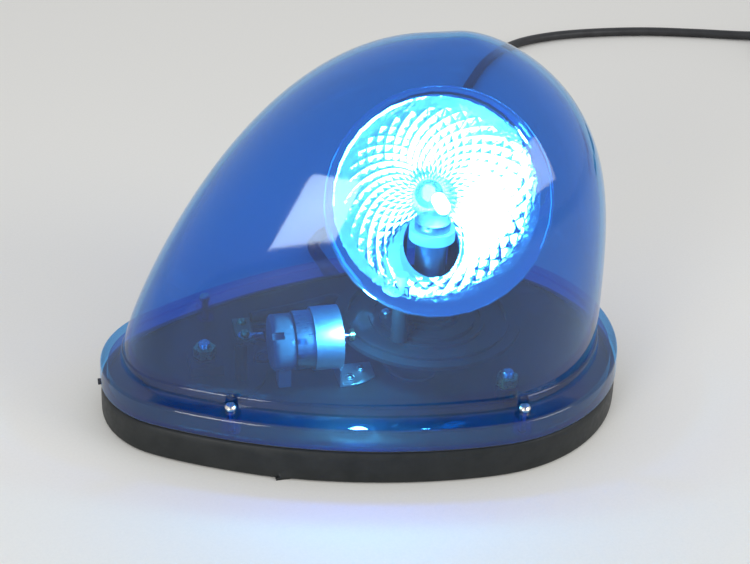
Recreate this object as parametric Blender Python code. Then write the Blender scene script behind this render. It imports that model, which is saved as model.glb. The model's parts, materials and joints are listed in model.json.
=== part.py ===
"""A magnetic roof beacon with a teardrop lens, in metres, +Z up.

The origin is the middle of the base's underside. The tip of the teardrop points along -X.
"""

import math

import bmesh
import bpy
from mathutils import Matrix, Vector

# Clearances shared by all the pieces, and how finely round ones are drawn
GAP = 0.0003
OVERRUN = 0.002
ROUND_SIDES = 24
PART_SIDES = 16
SMALL_SIDES = 12
HOLE_SIDES = 10

# Teardrop outline: a wide arc, a tip arc and two long side arcs
LENGTH = 0.220
WIDE_RADIUS = 0.072
TIP_RADIUS = 0.0409
WIDE_STEPS = 16
SIDE_STEPS = 6
TIP_STEPS = 8
WIDE_X = LENGTH / 2 - WIDE_RADIUS

# Base tray, open below
BASE_FOOT_Z = 0.0007
BASE_TOP_Z = 0.0143
BASE_WALL = 0.0025
PLATE_THICKNESS = 0.0023
BASE_CHAMFER = 0.0006
FOOT_NUB_LENGTH = 0.0055
FOOT_NUB_WIDTH = 0.0022
FOOT_NUB_X = -0.044
MAGNET_RAISE = 0.0022
MAGNET_RAISE_INSET = 0.0175
POST_RADIUS = 0.0026
POST_BORE = 0.0011
POST_DEPTH = 0.006
POST_TOP_Z = 0.033
POST_X, POST_Y = -0.053, -0.010

# Gasket between the tray and the lens
GASKET_THICKNESS = 0.0006
GASKET_WIDTH = 0.0024
GASKET_INSET = 0.0004
GASKET_TAB_WIDTH = 0.0036
GASKET_TAB_OUT = 0.0009

# Lens
LENS_WALL = 0.0022
FLANGE_TOP_Z = 0.0244
FLANGE_TOP_INSET = 0.0016
FLANGE_EDGE = 0.0014
EDGE_STEPS = 2
RISER_FOOT_INSET = 0.0096
RISER_TOP_INSET = 0.0103
DOME_INSET = 0.0110
DOME_FOOT_Z = 0.0294
DOME_HEIGHT = 0.1255
DOME_APEX_BACK = 0.0036
DOME_STEPS = 10
SIDE_CURVE_SHARE = 4.13
SIDE_ROUND_SHARE = 1.43
TIP_CURVE_SHARE = 1.17
TIP_ROUND_SHARE = 2.2
TIP_SWELL_SHARE = 2.1
TOP_RING_SHARE = 0.998
LEAST_LENGTH_SHARE = 2.001
MOST_TIP_SHARE = 0.999

# Lens screws and the bosses under the flange
LENS_SCREW_INSET = 0.0086
LENS_SCREW_BACK = 0.0485
LENS_SCREW_FRONT = 0.0117
LENS_BOSS_RADIUS = 0.0040
LENS_POCKET_RADIUS = 0.0029
LENS_SCREW_HEAD = 0.0025
LENS_SCREW_HEAD_HEIGHT = 0.0018
LENS_SCREW_SHANK = 0.0014
LENS_SCREW_LENGTH = 0.0185
SCREW_SLOT_WIDTH = 0.0006
SCREW_SLOT_DEPTH = 0.0007
PILLAR_RADIUS = 0.0038
PILLAR_FOOT_Z = 0.0030

# Magnets, studs and nuts
SIDE_MAGNET_EDGE = 0.01225
SIDE_MAGNET_DEGREES = 72.2
COVER_RADIUS = 0.0188
COVER_FLOOR = 0.0012
COVER_TOP_Z = 0.0072
MAGNET_RADIUS = 0.0174
MAGNET_TOP_Z = 0.0100
MAGNET_BEVEL = 0.0008
STUD_RADIUS = 0.0025
STUD_FLANGE_RADIUS = 0.0050
STUD_TOP_Z = 0.0270
STUD_CHAMFER = 0.0006
NUT_FLATS = 0.0080
NUT_HEIGHT = 0.0040
NUT_BOSS_RADIUS = 0.0046
NUT_BOSS_TOP_Z = 0.0202
NUT_BLOCK = 0.0135
NUT_BLOCK_HEIGHT = 0.0045

# Lamp column, holder and bulb, on the rotor's axis
ROTOR_X = 0.027
COLUMN_FLANGE_RADIUS = 0.0150
COLUMN_FLANGE_HEIGHT = 0.0025
COLUMN_SHOULDER_RADIUS = 0.0090
COLUMN_SHOULDER_Z = 0.0240
COLUMN_RADIUS = 0.0065
COLUMN_BORE = 0.0035
HOLDER_RADIUS = 0.0095
HOLDER_BOTTOM_Z = 0.0690
HOLDER_HEIGHT = 0.0046
HOLDER_FLOOR = 0.0016
CAP_RADIUS = 0.0074
CAP_HEIGHT = 0.0062
BULB_RADIUS = 0.0092
BULB_NECK_RADIUS = 0.0058
BULB_WALL = 0.0007
BULB_STEPS = 6
FOCUS_Z = 0.0865
FILAMENT_HALF = 0.0028
FILAMENT_WIRE = 0.00035

# Rotor: washer, bush, turntable and the stand of the reflector
WASHER_THICKNESS = 0.0008
BUSH_WALL = 0.0018
BUSH_FLANGE_RADIUS = 0.0105
BUSH_FLANGE_HEIGHT = 0.0012
HUB_WALL = 0.0024
HUB_TOP_Z = 0.0400
RETAINER_HEIGHT = 0.0010
RETAINER_RADIUS = 0.0090
TURNTABLE_RADIUS = 0.0395
TURNTABLE_TOP_Z = 0.0319
TURNTABLE_THICKNESS = 0.0017
TABLE_SIDES = 32
RING_RADIUS = 0.0350
RING_WIDTH = 0.0016
RING_TOP_Z = 0.0332
WEB_DROP = 0.0015
INNER_RING_RADIUS = 0.0245
STAND_INNER = 0.0122
STAND_OUTER = 0.0141
STAND_FOOT_RADIUS = 0.0205
STAND_FOOT_HEIGHT = 0.0022
STAND_WINDOW_HALF = 0.0088
STAND_SCREW_RADIUS = 0.0173
STAND_SCREW_HEAD = 0.0021
STAND_SCREW_HEAD_HEIGHT = 0.0014
STAND_SCREW_SHANK = 0.0010

# Reflector, a paraboloid whose focus is the bulb's filament
FOCAL_LENGTH = 0.0157
RIM_CLEARANCE = 0.0133
RIM_LIP = 0.0016
RIM_DEPTH = 0.0022
BOWL_WALL = 0.0015
BOWL_STEPS = 7
BOWL_SIDES = 32
BOWL_OPENING = 0.0115
FACING_DEGREES = 8.0
TILT_DEGREES = 20.0
PIN_RADIUS = 0.0029
PIN_STEM_RADIUS = 0.0022
PIN_HEAD = 0.0024
PIN_STEM = 0.0070
PIN_RADIAL = 0.0195
PIN_SIDE = 0.0140
PIN_TOP_Z = 0.0630
PIN_BOSS_RADIUS = 0.0034
PIN_ARM_HALF = 0.0024
PIN_ARM_HEIGHT = 0.0018

# Motor, roller, clamp and bracket
MOTOR_FACE_X = -0.0135
MOTOR_Y = -0.0138
MOTOR_RADIUS = 0.0120
MOTOR_CAN_LENGTH = 0.0190
MOTOR_BEVEL = 0.0009
MOTOR_NOSE_RADIUS = 0.0031
MOTOR_NOSE = 0.0010
BELL_LENGTH = 0.0090
BELL_RADIUS = 0.0114
BELL_NOTCH_WIDTH = 0.0030
BELL_NOTCH_DEPTH = 0.0022
BELL_FOOT_WIDTH = 0.0070
SHAFT_RADIUS = 0.0010
SHAFT_OUT = 0.0060
ROLLER_RADIUS = 0.0025
ROLLER_WIDTH = 0.0017
CLAMP_THICKNESS = 0.0008
CLAMP_WIDTH = 0.0112
CLAMP_SET_BACK = 0.0004
FOOT_LENGTH = 0.0150
FOOT_WIDTH = 0.0150
CLAMP_SCREW_HEAD = 0.0020
CLAMP_SCREW_HEAD_HEIGHT = 0.0013
CLAMP_SCREW_SHANK = 0.0010
CLAMP_SCREW_LENGTH = 0.0050
CLAMP_SCREW_A_X, CLAMP_SCREW_A_SIDE = 0.0042, 0.0028
CLAMP_SCREW_B_X, CLAMP_SCREW_B_SIDE = 0.0100, 0.0024
CLAMP_CORNER_DEGREES = 38.0

# Terminal board, its screws and the ring lug
BOARD_X, BOARD_Y = -0.0470, 0.0257
BOARD_LENGTH = 0.0190
BOARD_WIDTH = 0.0074
BOARD_THICKNESS = 0.0018
BOARD_PITCH = 0.0107
BOARD_CLEARANCE = 0.0006
TERMINAL_HEAD = 0.0021
TERMINAL_HEAD_HEIGHT = 0.0016
LUG_RADIUS = 0.0032
LUG_THICKNESS = 0.0006
LUG_TONGUE = 0.0046

# Supply cord and its gland
CORD_RADIUS = 0.0030
GLAND_BACK = 0.033
GLAND_Z = 0.0068
GLAND_HOLE = 0.0040
GLAND_NECK = 0.0037
GLAND_FLANGE = 0.0046
GLAND_FLANGE_THICKNESS = 0.0016
GLAND_STANDOFF = 0.0007
GLAND_TAPER_RADIUS = 0.0042
GLAND_LENGTH = 0.0200
CORD_STEP = 0.0150
CORD_SIDES = 2
INNER_CORD_RADIUS = 0.0025
PLATE_HOLE_RADIUS = 0.0055
PLATE_HOLE_X, PLATE_HOLE_Y = 0.0000, 0.0440
WIRE_RADIUS = 0.0008
WIRE_SIDES = 1
WIRE_STEP = 0.0042

# Coil of the spare cord, its tie and the tail to the plug
COIL_X, COIL_Y = 0.420, 0.322
COIL_MEAN_RADIUS = 0.0330
COIL_PITCH = 0.0068
COIL_TURNS = 6.25
COIL_START_DEGREES = 76.0
COIL_POINTS = 24
COIL_SIDES = 1
TIE_THICKNESS = 0.0010
TIE_WIDTH = 0.0080
TIE_DEGREES = 200.0
TAIL_LENGTH = 0.0260
TAIL_DROP = 0.0008

# Plug for a car's lighter socket
PLUG_BOOT_LENGTH = 0.0210
PLUG_BOOT_RADIUS = 0.0042
PLUG_BOOT_END = 0.0056
GRIP_RADIUS = 0.0116
GRIP_LENGTH = 0.0270
BARREL_RADIUS = 0.0100
BARREL_LENGTH = 0.0300
PLUG_BEVEL = 0.0016
PLUG_SIDES = 20
NOSE_RADIUS = 0.0072
NOSE_LENGTH = 0.0080
NOSE_BORE = 0.0034
FUSE_RADIUS = 0.0031
FUSE_LENGTH = 0.0300
PLUG_TIP_RADIUS = 0.0029
TIP_COLLAR = 0.0042
TIP_COLLAR_LENGTH = 0.0015
TIP_OUT = 0.0060
TIP_TRAVEL = 0.0025
CONTACT_LENGTH = 0.0180
CONTACT_WIDTH = 0.0040
CONTACT_THICKNESS = 0.0005
CONTACT_RISE = 0.0012
CONTACT_SETBACK = 0.0040
CONTACT_STEPS = 8

# The cord's route over the surface, from the gland to the coil
CORD_ROUTE = [
    (0.0000, 0.1070, 0.0066),
    (0.0023, 0.1185, 0.0045),
    (0.0088, 0.1282, 0.0034),
    (0.0200, 0.1400, 0.0031),
    (0.0400, 0.1610, 0.0031),
    (0.0620, 0.1850, 0.0031),
    (0.0850, 0.2130, 0.0031),
    (0.1060, 0.2440, 0.0031),
    (0.1250, 0.2780, 0.0031),
    (0.1440, 0.3140, 0.0031),
    (0.1680, 0.3520, 0.0031),
    (0.1950, 0.3780, 0.0031),
    (0.2250, 0.3900, 0.0031),
    (0.2600, 0.3935, 0.0031),
    (0.3000, 0.3910, 0.0031),
    (0.3370, 0.3825, 0.0031),
    (0.3740, 0.3715, 0.0034),
    (0.4020, 0.3685, 0.0042),
]

# The leads inside, by hand, each from its terminal
MOTOR_LEAD_LIVE = [
    (-0.0388, 0.0204, 0.0186),
    (-0.0362, 0.0185, 0.0190),
    (-0.0362, 0.0120, 0.0195),
    (-0.0400, 0.0050, 0.0235),
    (-0.0452, -0.0020, 0.0300),
    (-0.0466, -0.0075, 0.0345),
    (-0.0436, -0.0093, 0.0347),
]
MOTOR_LEAD_GROUND = [
    (-0.0425, 0.0250, 0.0160),
    (-0.0385, 0.0245, 0.0158),
    (-0.0325, 0.0205, 0.0156),
    (-0.0310, 0.0100, 0.0156),
    (-0.0360, 0.0000, 0.0176),
    (-0.0455, -0.0075, 0.0220),
    (-0.0480, -0.0150, 0.0290),
    (-0.0466, -0.0183, 0.0338),
    (-0.0436, -0.0183, 0.0347),
]
LAMP_LEAD = [
    (-0.0425, 0.0292, 0.0160),
    (-0.0360, 0.0290, 0.0156),
    (-0.0200, 0.0240, 0.0156),
    (-0.0050, 0.0120, 0.0156),
    (0.0060, -0.0040, 0.0156),
    (0.0080, -0.0160, 0.0156),
    (0.0140, -0.0225, 0.0156),
    (0.0215, -0.0230, 0.0156),
    (0.0262, -0.0190, 0.0156),
    (0.0270, -0.0120, 0.0158),
    (0.0270, -0.0050, 0.0166),
    (0.0270, -0.0010, 0.0200),
    (0.0270, 0.0000, 0.0290),
    (0.0270, 0.0000, 0.0450),
    (0.0270, 0.0000, 0.0640),
]
INNER_CORD = [
    (0.0042, 0.0580, 0.0068),
    (0.0022, 0.0495, 0.0080),
    (0.0004, 0.0446, 0.0128),
    (-0.0042, 0.0416, 0.0178),
    (-0.0150, 0.0395, 0.0173),
    (-0.0270, 0.0365, 0.0172),
]
INNER_CORD_END = (-0.0425, 0.0335, 0.0172)

PLATE_BOTTOM_Z = BASE_TOP_Z - PLATE_THICKNESS
MOTOR_Z = TURNTABLE_TOP_Z + GAP + ROLLER_RADIUS
TIP_MAGNET_X = (MOTOR_FACE_X - MOTOR_CAN_LENGTH / 2 - LENGTH / 2) / 2
RIM_RADIUS = WIDE_RADIUS - DOME_INSET - LENS_WALL - RIM_CLEARANCE
BOWL_DEPTH = (RIM_RADIUS - RIM_LIP) ** 2 / (4 * FOCAL_LENGTH)
COLOURS = {
    "lens blue": ((0.010, 0.055, 0.52, 1), 0.08, 0.0),
    "black plastic": ((0.028, 0.028, 0.027, 1), 0.45, 0.0),
    "rubber": ((0.020, 0.020, 0.020, 1), 0.70, 0.0),
    "bright steel": ((0.72, 0.71, 0.68, 1), 0.22, 1.0),
    "brass": ((0.78, 0.58, 0.26, 1), 0.28, 1.0),
    "ferrite": ((0.06, 0.06, 0.065, 1), 0.55, 0.3),
    "white plastic": ((0.75, 0.76, 0.76, 1), 0.40, 0.0),
    "mirror": ((0.90, 0.91, 0.92, 1), 0.06, 1.0),
    "glass": ((0.95, 0.97, 1.0, 1), 0.03, 0.0),
    "tungsten": ((1.0, 0.86, 0.62, 1), 0.35, 0.5),
    "red lead": ((0.60, 0.03, 0.05, 1), 0.40, 0.0),
    "black lead": ((0.03, 0.03, 0.03, 1), 0.40, 0.0),
    "board": ((0.42, 0.30, 0.16, 1), 0.55, 0.0),
}


def clear_scene():
    for old in list(bpy.data.objects):
        bpy.data.objects.remove(old, do_unlink=True)


def material(name):
    if name in bpy.data.materials:
        return bpy.data.materials[name]
    colour, roughness, metallic = COLOURS[name]
    made = bpy.data.materials.new(name)
    made.use_nodes = True
    shader = made.node_tree.nodes["Principled BSDF"]
    shader.inputs["Base Color"].default_value = colour
    shader.inputs["Roughness"].default_value = roughness
    shader.inputs["Metallic"].default_value = metallic
    if name in ("lens blue", "glass"):
        shader.inputs["Transmission Weight"].default_value = 1.0
    made.diffuse_color = colour
    return made


def add_object(name, mesh, finish, origin=(0, 0, 0)):
    """Link a mesh that is drawn in world places, with its origin moved to where it turns."""
    mesh.transform(Matrix.Translation(-Vector(origin)))
    mesh.shade_smooth()
    mesh.set_sharp_from_angle(angle=math.radians(35))
    made = bpy.data.objects.new(name, mesh)
    made.location = origin
    mesh.materials.append(material(finish))
    bpy.context.scene.collection.objects.link(made)
    return made


def guide(name, mesh):
    """A cutter: it takes no part in the model itself."""
    made = bpy.data.objects.new(name, mesh)
    made.hide_render = True
    made.display_type = "WIRE"
    bpy.context.scene.collection.objects.link(made)
    return made


def boolean(target, tool, operation):
    step = target.modifiers.new(f"{operation.lower()} {tool.name}", "BOOLEAN")
    step.operation = operation
    step.solver = "EXACT"
    step.object = tool
    return step


def cut(target, mesh):
    """Take away a mesh that is drawn in world places."""
    boolean(target, guide(f"{target.name}.cut{len(target.modifiers)}", mesh), "DIFFERENCE")


def join(target, mesh):
    """Add a mesh that is drawn in world places."""
    boolean(target, guide(f"{target.name}.add{len(target.modifiers)}", mesh), "UNION")


def finish_mesh(name, work):
    """Turn a bmesh into a mesh with its faces pointing out."""
    bmesh.ops.recalc_face_normals(work, faces=work.faces)
    mesh = bpy.data.meshes.new(name)
    work.to_mesh(mesh)
    work.free()
    return mesh


def skin(name, rings, closed=False):
    """A solid through rings of points. A ring of one point is a pole; open ends are capped."""
    work = bmesh.new()
    rows = [[work.verts.new(p) for p in ring] for ring in rings]
    pairs = list(zip(rows, rows[1:], strict=False))
    if closed:
        pairs.append((rows[-1], rows[0]))
    for low, high in pairs:
        count = max(len(low), len(high))
        for i in range(count):
            j = (i + 1) % count
            if len(low) == 1:
                work.faces.new((low[0], high[j], high[i]))
            elif len(high) == 1:
                work.faces.new((low[i], low[j], high[0]))
            else:
                work.faces.new((low[i], low[j], high[j], high[i]))
    if not closed:
        for end in (rows[0], rows[-1]):
            if len(end) > 1:
                work.faces.new(end)
    return finish_mesh(name, work)


def frame_at(centre, direction):
    """A matrix that puts local +Z along a direction at a centre."""
    turn = Vector(direction).to_track_quat("Z", "Y").to_matrix().to_4x4()
    return Matrix.Translation(Vector(centre)) @ turn


def turned(name, profile, sides, place=None):
    """A lathe solid from (radius, height) points. Ends on the axis close it there."""
    rings = []
    for radius, height in profile:
        if radius == 0:
            rings.append([(0, 0, height)])
            continue
        angles = [math.tau * i / sides for i in range(sides)]
        rings.append([(radius * math.cos(a), radius * math.sin(a), height) for a in angles])
    on_axis = profile[0][0] == 0 and profile[-1][0] == 0
    mesh = skin(name, rings, closed=not on_axis)
    mesh.transform(place or Matrix.Identity(4))
    return mesh


def rod(name, radius, low, high, sides, place=None):
    """A plain cylinder along local Z."""
    return turned(name, [(0, low), (radius, low), (radius, high), (0, high)], sides, place)


def block(name, low, high, place=None):
    work = bmesh.new()
    bmesh.ops.create_cube(work, size=1.0)
    size = Vector(high) - Vector(low)
    middle = (Vector(high) + Vector(low)) / 2
    bmesh.ops.transform(
        work, matrix=Matrix.Translation(middle) @ Matrix.Diagonal((*size, 1)), verts=work.verts
    )
    mesh = finish_mesh(name, work)
    mesh.transform(place or Matrix.Identity(4))
    return mesh


def upright(x, y, z=0):
    return Matrix.Translation((x, y, z))


def side_radius(length, wide, tip):
    """The radius of the long arcs that run smoothly from the wide arc to the tip's."""
    reach = length - wide - tip
    return (reach**2 + wide**2 - tip**2) / (2 * (wide - tip))


def teardrop(length, wide, tip, x=0.0, z=0.0):
    """The four-arc outline, from the foot of the wide arc round to it again."""
    reach = length - wide - tip
    side = side_radius(length, wide, tip)
    lean = math.atan2(side - wide, reach)
    points = []

    def arc(cx, cy, radius, start, end, steps):
        for i in range(steps):
            a = start + (end - start) * i / steps
            points.append((x + cx + radius * math.cos(a), cy + radius * math.sin(a), z))

    quarter = math.pi / 2
    arc(0, 0, wide, -quarter, quarter, WIDE_STEPS)
    arc(0, wide - side, side, quarter, math.pi - lean, SIDE_STEPS)
    arc(-reach, 0, tip, math.pi - lean, math.pi + lean, TIP_STEPS)
    arc(0, side - wide, side, math.pi + lean, 3 * quarter, SIDE_STEPS)
    return points


def outline(inset, z):
    """The object's own outline, drawn in by an inset."""
    wide, tip = WIDE_RADIUS - inset, TIP_RADIUS - inset
    return teardrop(LENGTH - 2 * inset, wide, tip, WIDE_X, z)


def draft(z):
    """How far the outer wall leans in at a height."""
    return FLANGE_TOP_INSET * z / FLANGE_TOP_Z


def edge_y(x_from_wide, inset):
    """The outline's half width at a place along it, measured from the wide arc's centre."""
    if x_from_wide >= 0:
        return math.sqrt((WIDE_RADIUS - inset) ** 2 - x_from_wide**2)
    side = side_radius(LENGTH, WIDE_RADIUS, TIP_RADIUS)
    return math.sqrt((side - inset) ** 2 - x_from_wide**2) - (side - WIDE_RADIUS)


def edge_normal(x_from_wide):
    """The outward direction of the long side, on the +Y side."""
    side = side_radius(LENGTH, WIDE_RADIUS, TIP_RADIUS)
    return Vector((x_from_wide / side, math.sqrt(1 - (x_from_wide / side) ** 2), 0))


def lens_screw_places():
    places = []
    for x in (LENS_SCREW_BACK - LENGTH / 2 - WIDE_X, LENS_SCREW_FRONT):
        for hand in (-1, 1):
            places.append((WIDE_X + x, hand * edge_y(x, LENS_SCREW_INSET)))
    return places


def magnet_places():
    reach = WIDE_RADIUS - COVER_RADIUS - SIDE_MAGNET_EDGE
    a = math.radians(SIDE_MAGNET_DEGREES)
    x, y = WIDE_X + reach * math.cos(a), reach * math.sin(a)
    return [(TIP_MAGNET_X, 0.0), (x, -y), (x, y)]


def dome_ring(share, inset, height):
    """One level of the dome, a teardrop that shrinks towards the top."""
    back = DOME_APEX_BACK * share
    wide = WIDE_RADIUS - inset
    half = wide * (1 - share**SIDE_CURVE_SHARE) ** (1 / SIDE_ROUND_SHARE)
    reach = LENGTH - WIDE_RADIUS - inset - DOME_APEX_BACK
    front = reach * (1 - share**TIP_CURVE_SHARE) ** (1 / TIP_ROUND_SHARE) + DOME_APEX_BACK
    length = max(front - back + half, LEAST_LENGTH_SHARE * half)
    foot_share = (TIP_RADIUS - inset) / wide
    tip = min(foot_share + (1 - foot_share) * share**TIP_SWELL_SHARE, MOST_TIP_SHARE) * half
    return teardrop(length, half, tip, WIDE_X - back, DOME_FOOT_Z + share * height)


def dome_rings(inset, height):
    """Levels closer together towards the top, where the dome turns over."""
    turns = [math.pi / 2 * i / DOME_STEPS for i in range(DOME_STEPS)]
    shares = [math.sin(a) for a in turns] + [TOP_RING_SHARE]
    return [dome_ring(s, inset, height) for s in shares]


def make_base():
    low, high = BASE_FOOT_Z, BASE_TOP_Z
    wall = BASE_WALL
    rings = [
        outline(draft(high) + BASE_CHAMFER, high),
        outline(draft(high), high - BASE_CHAMFER),
        outline(BASE_CHAMFER / 2, low + BASE_CHAMFER),
        outline(BASE_CHAMFER, low),
        outline(wall, low),
        outline(draft(high) + wall, PLATE_BOTTOM_Z),
    ]
    base = add_object("base_tray", skin("base_tray", rings), "black plastic")
    inside = PLATE_BOTTOM_Z + GAP
    raised = high + MAGNET_RAISE
    tip = upright(TIP_MAGNET_X, 0)
    raise_radius = LENGTH / 2 + TIP_MAGNET_X - MAGNET_RAISE_INSET
    join(base, rod("raise", raise_radius, inside, raised, ROUND_SIDES, tip))
    half = NUT_BLOCK / 2
    join(base, block("nut block", (-half, -half, high), (half, half, raised + NUT_BLOCK_HEIGHT), tip))
    recess = Vector((BOARD_WIDTH / 2 + BOARD_CLEARANCE, BOARD_LENGTH / 2 + BOARD_CLEARANCE, 0))
    middle = Vector((BOARD_X, BOARD_Y, high))
    over = Vector((0, 0, MAGNET_RAISE + OVERRUN))
    cut(base, block("board recess", middle - recess, middle + recess + over))
    for x, y in magnet_places():
        join(base, rod("nut boss", NUT_BOSS_RADIUS, inside, nut_seat(x), PART_SIDES, upright(x, y)))
    for x, y in lens_screw_places():
        join(base, rod("pillar", PILLAR_RADIUS, PILLAR_FOOT_Z, high - GAP, SMALL_SIDES, upright(x, y)))
    post = upright(POST_X, POST_Y)
    join(base, rod("post", POST_RADIUS, inside, POST_TOP_Z, SMALL_SIDES, post))
    for hand in (-1, 1):
        y = hand * (edge_y(FOOT_NUB_X - WIDE_X, BASE_WALL) + FOOT_NUB_WIDTH / 2)
        corner = Vector((FOOT_NUB_LENGTH / 2, FOOT_NUB_WIDTH / 2, 0))
        centre = Vector((FOOT_NUB_X, y, 0))
        top = Vector((0, 0, BASE_FOOT_Z + BASE_CHAMFER))
        join(base, block("nub", centre - corner, centre + corner + top))
    for x, y in magnet_places():
        cut(base, rod("stud hole", STUD_RADIUS + GAP, -OVERRUN, STUD_TOP_Z, PART_SIDES, upright(x, y)))
    above = high + OVERRUN
    for x, y in lens_screw_places():
        depth = FLANGE_TOP_Z - LENS_SCREW_LENGTH - OVERRUN / 2
        cut(base, rod("pilot", LENS_SCREW_SHANK + GAP, depth, above, SMALL_SIDES, upright(x, y)))
    bore_top = POST_TOP_Z + OVERRUN
    cut(base, rod("post bore", POST_BORE, POST_TOP_Z - POST_DEPTH, bore_top, HOLE_SIDES, post))
    hole = upright(PLATE_HOLE_X, PLATE_HOLE_Y)
    below = PLATE_BOTTOM_Z - OVERRUN
    cut(base, rod("cord hole", PLATE_HOLE_RADIUS, below, above, PART_SIDES, hole))
    for x, y in clamp_screw_places() + terminal_places():
        cut(base, rod("small pilot", CLAMP_SCREW_SHANK + GAP, -OVERRUN, above, HOLE_SIDES, upright(x, y)))
    cut(base, rod("gland hole", GLAND_HOLE, -BASE_WALL - OVERRUN, OVERRUN, PART_SIDES, gland_place()))


def nut_seat(x):
    """The top of the boss that a magnet's nut is tightened on."""
    return NUT_BOSS_TOP_Z + (MAGNET_RAISE if x < 0 else 0)


def make_gasket():
    low = BASE_TOP_Z + GAP
    high = low + GASKET_THICKNESS
    outer = draft(high) + GASKET_INSET
    inner = outer + GASKET_WIDTH
    rings = [outline(outer, low), outline(outer, high), outline(inner, high), outline(inner, low)]
    ring = add_object("lens_gasket", skin("lens_gasket", rings, closed=True), "rubber")
    half = GASKET_TAB_WIDTH / 2
    tip = -LENGTH / 2 + draft(high)
    join(ring, block("tab", (tip - GASKET_TAB_OUT, -half, low), (tip + GASKET_WIDTH, half, high)))


def lens_foot_z():
    return BASE_TOP_Z + 2 * GAP + GASKET_THICKNESS


def make_lens():
    foot, top = lens_foot_z(), FLANGE_TOP_Z
    outer = [outline(draft(foot), foot)]
    for i in range(EDGE_STEPS + 1):
        a = math.pi / 2 * i / EDGE_STEPS
        inset = FLANGE_TOP_INSET + FLANGE_EDGE * (1 - math.cos(a))
        outer.append(outline(inset, top - FLANGE_EDGE * (1 - math.sin(a))))
    outer.append(outline(RISER_FOOT_INSET, top))
    outer.append(outline(RISER_TOP_INSET, DOME_FOOT_Z - (DOME_INSET - RISER_TOP_INSET)))
    outer += dome_rings(DOME_INSET, DOME_HEIGHT)
    wall = LENS_WALL
    inner = [outline(draft(foot) + wall, foot)]
    inner.append(outline(FLANGE_TOP_INSET + wall + FLANGE_EDGE / 2, top - wall))
    inner.append(outline(DOME_INSET + wall, top - wall))
    inner += dome_rings(DOME_INSET + wall, DOME_HEIGHT - wall)
    lens = add_object("lens_dome", skin("lens_dome", outer[::-1] + inner), "lens blue")
    for x, y in lens_screw_places():
        low, high = BASE_TOP_Z + GAP, top - wall / 2
        join(lens, rod("boss", LENS_BOSS_RADIUS, low, high, SMALL_SIDES, upright(x, y)))
    for x, y in lens_screw_places():
        cut(lens, rod("pocket", LENS_POCKET_RADIUS, top, DOME_FOOT_Z + GAP, SMALL_SIDES, upright(x, y)))
    bore = LENS_SCREW_SHANK + GAP
    for x, y in lens_screw_places():
        cut(lens, rod("screw hole", bore, -OVERRUN, top + OVERRUN, SMALL_SIDES, upright(x, y)))


def pan_screw(
    name, head, head_height, shank, length, x, y, seat, finish="bright steel", origin=(0, 0, 0)
):
    """A slotted screw that sits a clearance above its seat."""
    low = seat + GAP
    profile = [
        (0, low - length),
        (shank, low - length),
        (shank, low),
        (head, low),
        (head, low + head_height / 2),
        (head / math.sqrt(2), low + head_height),
        (0, low + head_height),
    ]
    screw = add_object(name, turned(name, profile, SMALL_SIDES, upright(x, y)), finish, origin)
    half = SCREW_SLOT_WIDTH / 2
    top = low + head_height
    reach = head + OVERRUN
    slot_depth = min(SCREW_SLOT_DEPTH, head_height / 2)
    place = upright(x, y) @ Matrix.Rotation(x * math.tau / LENGTH, 4, "Z")
    low_corner, high_corner = (-reach, -half, top - slot_depth), (reach, half, top + OVERRUN)
    cut(screw, block("slot", low_corner, high_corner, place))


def make_lens_screws():
    names = ["lens_screw_tip_near", "lens_screw_tip_far", "lens_screw_wide_near", "lens_screw_wide_far"]
    for name, (x, y) in zip(names, lens_screw_places(), strict=True):
        pan_screw(
            name, LENS_SCREW_HEAD, LENS_SCREW_HEAD_HEIGHT, LENS_SCREW_SHANK,
            LENS_SCREW_LENGTH, x, y, FLANGE_TOP_Z,
        )


def make_magnets():
    for label, (x, y) in zip(("tip", "near", "far"), magnet_places(), strict=True):
        place = upright(x, y)
        bevel = MAGNET_BEVEL
        foot = COVER_FLOOR + GAP
        cover = [
            (0, 0),
            (COVER_RADIUS - bevel, 0),
            (COVER_RADIUS, bevel),
            (COVER_RADIUS, COVER_TOP_Z),
            (MAGNET_RADIUS + GAP, COVER_TOP_Z),
            (MAGNET_RADIUS + GAP, COVER_FLOOR),
            (0, COVER_FLOOR),
        ]
        add_object(f"magnet_cover_{label}", turned("cover", cover, ROUND_SIDES, place), "rubber")
        magnet = [
            (0, foot),
            (MAGNET_RADIUS, foot),
            (MAGNET_RADIUS, MAGNET_TOP_Z - bevel),
            (MAGNET_RADIUS - bevel, MAGNET_TOP_Z),
            (0, MAGNET_TOP_Z),
        ]
        add_object(f"magnet_{label}", turned("magnet", magnet, ROUND_SIDES, place), "ferrite")
        low = MAGNET_TOP_Z + GAP
        top = STUD_TOP_Z + (MAGNET_RAISE if x < 0 else 0)
        chamfer = STUD_CHAMFER
        stud = [
            (0, low),
            (STUD_FLANGE_RADIUS, low),
            (STUD_FLANGE_RADIUS, PLATE_BOTTOM_Z - GAP),
            (STUD_RADIUS, PLATE_BOTTOM_Z - GAP),
            (STUD_RADIUS, top - chamfer),
            (STUD_RADIUS - chamfer, top),
            (0, top),
        ]
        add_object(f"magnet_stud_{label}", turned("stud", stud, SMALL_SIDES, place), "bright steel")
        seat = nut_seat(x) + GAP
        corner = NUT_FLATS / math.sqrt(3)
        nut = rod("nut", corner, seat, seat + NUT_HEIGHT, 6, place)
        nut = add_object(f"magnet_nut_{label}", nut, "brass")
        above = seat + NUT_HEIGHT + OVERRUN
        cut(nut, rod("bore", STUD_RADIUS + GAP, seat - OVERRUN, above, PART_SIDES, place))


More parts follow.
